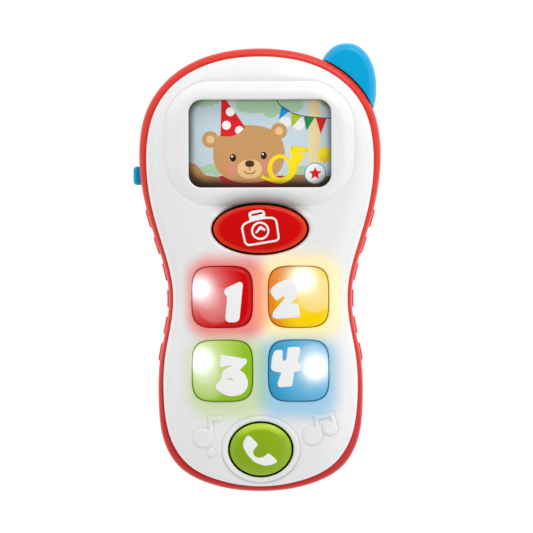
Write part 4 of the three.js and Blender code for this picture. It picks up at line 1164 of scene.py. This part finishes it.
DIGITS = {
    "1": [(-7.5, -4.3), (-6.4, -5.0), (-7.8, -19.3), (-13.1, -19.4), (-12.2, -10.0), (-13.5, -8.5),
          (-12.9, -6.8)],
    "2": [(3.2, -7.9), (5.0, -5.9), (7.2, -4.4), (9.8, -3.5), (12.1, -4.1), (13.7, -5.9), (13.9, -8.4),
          (13.2, -10.4), (11.3, -12.6), (14.1, -12.4), (14.7, -17.4), (6.0, -18.2), (4.4, -17.6),
          (4.7, -15.3), (6.8, -13.2), (9.2, -10.4), (8.6, -9.5), (6.0, -11.6)],
    "3": [(-14.8, -31.2), (-4.9, -32.9), (-5.1, -34.4), (-7.7, -37.0), (-5.7, -38.4), (-4.6, -41.0),
          (-4.8, -43.6), (-6.7, -45.9), (-10.0, -46.8), (-13.3, -46.2), (-16.7, -43.8), (-16.4, -42.3),
          (-14.4, -40.3), (-14.3, -37.7), (-12.6, -36.2), (-10.8, -35.6), (-10.9, -35.1), (-14.4, -35.9),
          (-15.0, -35.4)],
    "4": [(5.3, -29.6), (8.2, -29.6), (8.1, -33.2), (8.7, -33.8), (9.5, -33.2), (10.1, -28.6),
          (14.7, -28.5), (14.7, -30.3), (13.6, -33.7), (15.1, -35.3), (15.0, -36.6), (14.1, -37.5),
          (12.4, -37.7), (11.7, -43.0), (6.7, -43.4), (6.2, -42.0), (7.7, -37.9), (4.8, -37.5),
          (3.8, -36.4), (4.3, -32.1)],
}
DIGIT_CORNERS = {
    "1": [0.8, 0.8, 2.0, 2.2, 0.6, 0.8, 1.0],
    "2": [0.8, 1, 1.2, 1.5, 1.6, 1.6, 1.6, 1.2, 0.15, 0.7, 0.7, 0.8, 0.9, 1.2, 1, 0.6, 0.6, 0.5],
    "3": [0.8, 0.8, 1.0, 0.3, 1.4, 1.6, 1.6, 1.6, 1.6, 1.6, 1.2, 1.2, 1.0, 1.2, 1.2, 0.25, 0.25, 0.5, 0.6],
    "4": [1.2, 0.6, 0.6, 0.7, 0.6, 0.5, 0.8, 1.0, 0.6, 0.9, 0.7, 0.7, 0.4, 0.9, 0.8, 1.0, 0.5, 1.0, 1.0, 1.5],
}


def digits():
    slot = stroke([(-12.3, -40.3), (-11.3, -40.1), (-10.3, -40.7)], 0.45, count=12)
    for digit, points in DIGITS.items():
        cuts = [slot] if digit == "3" else []
        decal(f"digit_{digit}", f"key_{digit}", [rounded(points, DIGIT_CORNERS[digit])], cuts)


def camera_icon():
    """A camera drawn in one line: its case and viewfinder, its lens and a glint."""
    line = 0.38
    case = dense(rounded([(-5.3, 8.9), (7.0, 10.9), (5.85, 19.3), (1.1, 19.1), (-3.5, 18.1), (-6.9, 16.4)],
                         [1.9, 1.5, 2.4, 1.5, 2.0, 2.2]))
    finder = rounded([(-3.8, 17.8), (-4.4, 21.0), (-3.0, 21.7), (0.3, 22.2), (1.7, 21.7), (2.0, 19.0)],
                     [0.3, 1.0, 0.8, 0.8, 0.9, 0.3])
    slot = stroke([(-2.9, 20.2), (0.5, 20.95)], 0.85, False)
    decal("camera_icon_case", "camera_button", [moved(case, line), finder], [moved(case, -line), slot])
    lens = (0.05, 14.4)
    decal("camera_icon_lens", "camera_button", [circle(*lens, 3.36, 60)], [circle(*lens, 2.62, 48)])
    glint = [(-1.9, 13.6), (-1.2, 13.4), (0.1, 15.0), (1.9, 14.2), (2.1, 15.0), (0.2, 16.2), (-0.3, 16.0)]
    decal("camera_icon_glint", "camera_button", [rounded(glint, [0.3, 0.3, 0.4, 0.3, 0.3, 0.6, 0.4])])


def call_icon():
    handset = [(-4.3, -61.1), (-1.0, -64.4), (-1.5, -65.3), (-2.7, -66.6), (-2.9, -68.0), (-1.9, -69.3),
               (-0.6, -69.6), (1.2, -69.2), (2.3, -68.1), (3.1, -67.9), (6.0, -70.6), (5.9, -71.4),
               (3.9, -72.3), (1.2, -72.6), (-2.3, -71.3), (-5.0, -68.4), (-6.6, -65.3), (-6.5, -63.7),
               (-5.4, -61.6)]
    decal("call_icon", "call_button", [rounded(handset, 1.0)])


# ---- the picture -----------------------------------------------------------------------------------


INKS = {  # colour, colour at the bottom and soft patches
    "paper": ("#e9e6de",), "sky": ("#c0d0d7",), "leaf": ("#a3c6a2",), "trunk": ("#e4d0a0",),
    "hill": ("#bd8a52", "#5e3a1a"), "balloon": ("#ebe4e8",), "string": ("#3a3a3c",), "blue": ("#108ad6",),
    "lime": ("#a6bf12",), "green": ("#088a44",), "red": ("#d80a14",), "wine": ("#a81c34",),
    "white": ("#f4f1ee",),
    "fur": ("#c4935c", None, [((-10.6, 37.4), 2.4, 0.9, "#dc8678"), ((2.9, 38.3), 2.4, 0.9, "#dc8678")]),
    "muzzle": ("#e6bd86",), "brown": ("#4a2810",), "dark": ("#120c09",), "line": ("#6b3f1c",),
    "yellow": ("#f4d806",), "ball": ("#f0dc10", None, [((24.3, 40.4), 2.2, 0.6, "#d9a818")]),
    "badge": ("#f1f1ef", None, [((22.9, 34.6), 2.2, 0.6, "#b4b9bf")]),
    "gold": ("#c9a005",), "teal": ("#2a9ab4",),
}


def picture_card():
    """A printed party scene with a teddy of a plain design, in one flat mesh with an ink per area."""
    inks = {ink: printed(f"ink_{ink}", *looks) for ink, looks in INKS.items()}
    art = [("sky", rounded_rect(53.6, 33.6, 5, (0, 46.6), 8))]

    def draw(ink, *loops):
        art.extend((ink, loop) for loop in loops)

    leaves = [(-23.2, 62.4, 1.7), (-20.9, 62.1, 1.7), (-18.2, 62.5, 1.7), (-16.2, 62.9, 1.2), (-6.5, 61, 2.4),
              (-3.4, 60.5, 2.4), (-0.6, 60.6, 2.5), (3.9, 59.3, 2.9), (6.8, 60.4, 2.7), (9.5, 61.2, 3.0),
              (13.0, 61.6, 3.2), (24.8, 62.8, 2.2), (-21.2, 36.8, 1.6), (-18.7, 37.6, 1.9),
              (-16.2, 36.8, 1.8), (13.8, 36.8, 1.9), (16.2, 36.9, 1.8)]
    draw("leaf", *[circle(*leaf) for leaf in leaves])
    draw("leaf", rounded([(-8.2, 61), (15.8, 62), (15.8, 65), (-8.2, 65)], 0.5))
    draw("trunk", rounded([(17.9, 36), (22.6, 36), (22.6, 66), (17.9, 66)], 0.4))
    draw("balloon", circle(9.4, 54.8, 2.1), circle(14.4, 54.2, 2.3))
    hill = bent([(-28, 39.5), (-24.8, 39.6), (-22.8, 38.3), (-21.2, 36.0), (-18.8, 34.9), (-6, 34.0),
                 (8, 34.8), (14, 35.3), (28, 34.6)], 60)
    draw("hill", np.vstack([[(-28, 29)], [(28, 29)], hill[::-1]]))
    draw("wine", rounded([(-15.4, 34.9), (8.8, 34.9), (7.4, 29), (-11.6, 29)], 0.5))
    draw("fur", circle(-18.4, 48.4, 3.1), circle(7.1, 51.5, 3.05))
    draw("fur", superellipse(13.3, 10.7, 2.3, 90, (-4.1, 43.0)))
    draw("red", rounded([(-13.9, 65.0), (-14.3, 62.6), (-14.6, 49.7), (-11.3, 49.4), (-8.4, 50.2),
                         (-5.3, 52.9)], [0.1, 4, 0.3, 3, 2, 0.3]))
    draw("white", circle(-10.95, 58.7, 1.65), circle(-12.4, 53.7, 1.65), circle(-7.6, 51.8, 1.6))
    draw("fur", rounded([(-9.4, 49.9), (-8.4, 50.2), (-5.3, 52.9), (-4.6, 51.4), (-6.4, 49.4), (-8.6, 48.8)],
                        [0.1, 2, 0.1, 0.3, 1, 1]))
    draw("muzzle", circle(-18.4, 48.4, 1.5), circle(7.1, 51.5, 1.5),
         superellipse(4.6, 3.5, 2.2, 50, (-3.8, 37.4)))
    for x, y in ((-10.0, 41.6), (1.4, 42.4)):
        draw("dark", superellipse(1.15, 1.4, 2, 30, (x, y)))
        draw("white", circle(x - 0.35, y + 0.5, 0.36, 14))
    draw("brown", superellipse(1.7, 1.25, 2.3, 30, (-3.8, 39.4)))
    draw("line", stroke([(-3.8, 38.4), (-3.8, 36.9)], 0.3, False))
    draw("line", stroke([(-5.9, 36.7), (-5.0, 35.9), (-3.8, 35.7), (-2.6, 35.9), (-1.7, 36.7)], 0.32))
    horn = [(0.6, 34.6), (4.2, 33.2), (8.2, 32.9), (11.0, 34.6), (12.5, 37.4), (13.3, 40.6), (14.2, 43.4)]
    centre = bent(horn, 40)
    width = np.interp(np.linspace(0, 1, 40), [0, 0.05, 0.12, 0.5, 0.8, 1], [1.5, 0.8, 1.1, 1.9, 2.9, 6.2])
    t = np.gradient(centre, axis=0)
    t /= np.linalg.norm(t, axis=1)[:, None]
    side = np.c_[t[:, 1], -t[:, 0]] * width[:, None] / 2
    draw("yellow", np.vstack([centre + side, (centre - side)[::-1]]))
    draw("ring", superellipse(4.65, 5.2, 2, 60, (7.5, 37.6)), superellipse(3.1, 3.65, 2, 48, (7.6, 37.8)))
    bell = superellipse(3.9, 1.2, 2, 40)
    lean = np.array([(1, -0.12), (0, 1)])
    draw("yellow", bell @ lean + (14.7, 44.6))
    draw("gold", bell * 0.8 @ lean + (14.7, 44.7))
    draw("yellow", bell * 0.72 @ lean + (14.7, 44.7))
    cord = bent([(6.2, 63.1), (7.9, 60.7), (11.0, 58.7), (14.8, 57.3), (19.7, 56.6), (27, 56.1)], 40)
    draw("blue", rounded([(8.1, 61.0), (11.2, 59.0), (7.0, 55.8)], 0.15))
    draw("lime", rounded([(11.7, 58.5), (15.7, 57.2), (11.8, 52.8)], 0.15))
    draw("green", rounded([(16.3, 57.1), (20.4, 56.6), (17.3, 51.6)], 0.15))
    draw("red", rounded([(20.8, 56.4), (24.8, 56.2), (22.6, 50.3)], 0.15))
    draw("string", stroke(cord, 0.34, False))
    draw("ball", superellipse(2.45, 2.85, 2, 40, (23.9, 42.6)))
    draw("gold", rounded([(23.5, 39.3), (24.3, 39.3), (23.9, 39.9)], 0.05))
    draw("teal", circle(20.5, 35.7, 4.05, 48))
    draw("badge", circle(20.5, 35.7, 3.7, 48))
    tips = [(math.sin(k * math.pi / 5), math.cos(k * math.pi / 5)) for k in range(10)]
    star = [(20.5 + (2.5, 1.15)[k % 2] * tx, 35.7 + (2.5, 1.15)[k % 2] * ty)
            for k, (tx, ty) in enumerate(tips)]
    draw("red", rounded(star, 0.15))

    names = list(inks)
    order = [ink for ink, _ in art]
    outline = resampled(rounded_rect(56, 36, 6, (0, 46.6), 10), 180)
    a = area(outline, (), [loop for _, loop in art], 3.0)
    top_inks = []
    for ids in a["guides"]:
        shown = "paper"
        for k in sorted(ids):
            if order[k] != "ring":
                shown = order[k]
                continue
            pair = [i for i, ink in enumerate(order) if ink == "ring"]
            if k == pair[0] and pair[1] not in ids:
                shown = "yellow"
        top_inks.append(names.index(shown))
    verts, faces, walls, _ = slab_mesh(a, level(PICTURE_TOP), level(PICTURE_BOTTOM))
    count = len(a["tris"])
    face_inks = top_inks + [0] * (len(faces) + len(walls) - count)
    piece = mesh_object("picture_card", verts, faces + walls, list(inks.values()), face_inks)
    return finished(piece, "case", "picture_print", "picture_card")


# ---- the parts inside, and those whose CAD shape is right ----------------------------------------


def dress_cad_nodes():
    """Materials and small edge bevels for the CAD nodes that stay."""
    by_slot = {
        "holder_white": moulded("holder_white", "#e4e4e0", 0.4, 0.0),
        "window_clear": clear_plastic(),
        "board_green": board_mask(),
        "silicone_grey": rubbery("silicone_grey", "#d8d8d2", 0.5),
        "black_plastic": moulded("black_plastic", "#1b1b1d", 0.4, 0.1),
        "led_lens": moulded("led_lens", "#f6f6ea", 0.1, 0.6, 0.0, 0.3),
        "steel": metal("steel", "#b9bcc0", 0.3),
        "nickel": metal("nickel", "#d8d5cb", 0.22, False),
        "cell_sleeve": battery_sleeve(),
        "paper_cone": rubbery("paper_cone", "#2a2a2c", 0.9),
        "wire_red": rubbery("wire_red", "#c22525", 0.5),
        "wire_black": rubbery("wire_black", "#222222", 0.5),
    }
    slots = {s["node"]: s["material_slot"] for s in frame["record"]["subparts"]}
    for name, node in frame["nodes"].items():
        material = by_slot.get(slots[name])
        if material is None:
            continue
        for s in node.material_slots:
            s.material = material
        if not slots[name].startswith(("wire", "nickel", "window")):
            bevel = node.modifiers.new("edge", "BEVEL")
            bevel.width, bevel.segments, bevel.use_clamp_overlap = CAD_BEVEL, 2, True
            bevel.limit_method, bevel.angle_limit = "ANGLE", math.radians(40)


# ---- stage, light and camera ---------------------------------------------------------------------


def area_light(name, at, target, size, power):
    light = bpy.data.lights.new(name, "AREA")
    light.shape, light.size, light.size_y, light.energy = "RECTANGLE", size[0], size[1], power
    lamp = bpy.data.objects.new(name, light)
    lamp.location = at
    lamp.rotation_euler = (Vector(target) - Vector(at)).to_track_quat("-Z", "Y").to_euler()
    bpy.context.scene.collection.objects.link(lamp)


def stage():
    m = Nodes("floor_pale")
    grain = m.noise(30, 4, 0.6)
    base = m.mix(grain, (0.18, 0.18, 0.18, 1), (0.22, 0.22, 0.22, 1))
    floor_material = m.finish(base, m.ramp(grain, 0.7, 0.85), light=(1, 1, 1, 1), strength=FLOOR_GLOW)
    side, low = 3000, -0.05
    corners = [(-side, -side, low), (side, -side, low), (side, side, low), (-side, side, low)]
    floor = mesh_object("floor", corners, [(0, 1, 2, 3)], [floor_material])
    scene = bpy.context.scene
    scene.world = bpy.data.worlds.new("soft_sky")
    sky = Nodes("soft_sky", scene.world)
    gain = sky.math("ADD", sky.vector("DOT_PRODUCT", sky.coords, SKY_TILT, 1), 1.0)
    for start, end, low, high in SKY_RAMPS:
        gain = sky.times(gain, sky.ramp(sky.axis(2), low, high, start, end))
    light = sky.add("ShaderNodeBackground", {"Color": (1, 1, 1, 1), "Strength": gain})
    sky.add("ShaderNodeOutputWorld", {"Surface": light.outputs[0]})
    for name, at, size, power in LAMPS:
        area_light(name, at, (0, 0, 0.02), size, power)
    scene.view_settings.view_transform = "Standard"

    camera = bpy.data.cameras.new("camera")
    camera.lens, camera.sensor_width = 135, 36
    view_width, aim, plane = 0.1992, (0.00232, 0.00121), 0.02
    distance = view_width / 2 * camera.lens / (camera.sensor_width / 2)
    holder = bpy.data.objects.new("camera", camera)
    holder.location = (aim[0], aim[1], plane + distance)
    holder.rotation_euler = (0, 0, math.radians(-0.17))
    scene.collection.objects.link(holder)
    scene.camera = holder


# ---- assembly --------------------------------------------------------------------------------------

WHITE = shell_plastic()
# painted shadow for the walls of the holes in the face
DARK = moulded("gap_shadow", "#241f1f", 0.6, 0.0)
# red case with a painted shade darkening its lower end
RED = moulded("case_red", "#e6301f", 0.3, 0.1, specular=0.35, foot="#cc181a")
BLUE = moulded("trim_blue", "#02aadf", 0.26, 0.1, specular=0.25)
PRINT_WHITE = moulded("print_white", "#fafafa", 0.35, 0.1)
# each button: middle colour, painted sheen at the rim, painted shade in the gap, and for the call button a
# painted highlight crescent
CAMERA_RED = button_plastic("camera_red", "camera_button", "#d80c0b", "#ea3a12", "#2a0505", 0.82, 0.14)
CALL_GREEN = button_plastic("call_green", "call_button", "#90b418", "#9ac41e", "#0f2410", 0.82, 0.25,
                            "#bedb3c")
KEYS = {
    "key_1": key_plastic("key_1", "#cf0408", "#e24a48", "#f6c4c6",
                         [((-16.2, -13.0), 6.5, 0.35), ((-19.0, -10.4), 3.8, 0.4)], (6, 17)),
    "key_2": key_plastic("key_2", "#ec8412", "#ffd600", "#fff8cf", [((20.3, -9.0), 6.6, 0.5)], (11, 20),
                         (23, -13)),
    "key_3": key_plastic("key_3", "#8cbe12", "#b6d85c", "#f0f6dc",
                         [((-19.2, -42.0), 5.6, 0.3), ((-20.2, -37.7), 4.2, 0.45)], (8, 19)),
    "key_4": key_plastic("key_4", "#0a8cc0", "#5cb4dc", "#e4f2f8", [((19.0, -33.3), 5.5, 0.5)], (8, 23)),
}
# painted glow of each lit key's light on the walls of its hole
KEY_GAP_GLOWS = [moulded(f"gap_{i + 1}", tint, 0.5, 0.0, glow=0.3)
            for i, tint in enumerate(("#b04a44", "#a8702c", "#5f8f38", "#3a7c9c"))]
stage()
front_shell()
rear_shell()
battery_bay()
battery_door()
antenna()
slide_knob()
for key, slot in zip(KEYS, ("key_red", "key_yellow", "key_green", "key_blue")):
    button(key, KEYS[key], slot)
button("camera_button", CAMERA_RED, "camera_red")
button("call_button", CALL_GREEN, "call_green")
digits()
camera_icon()
call_icon()
picture_card()
dress_cad_nodes()
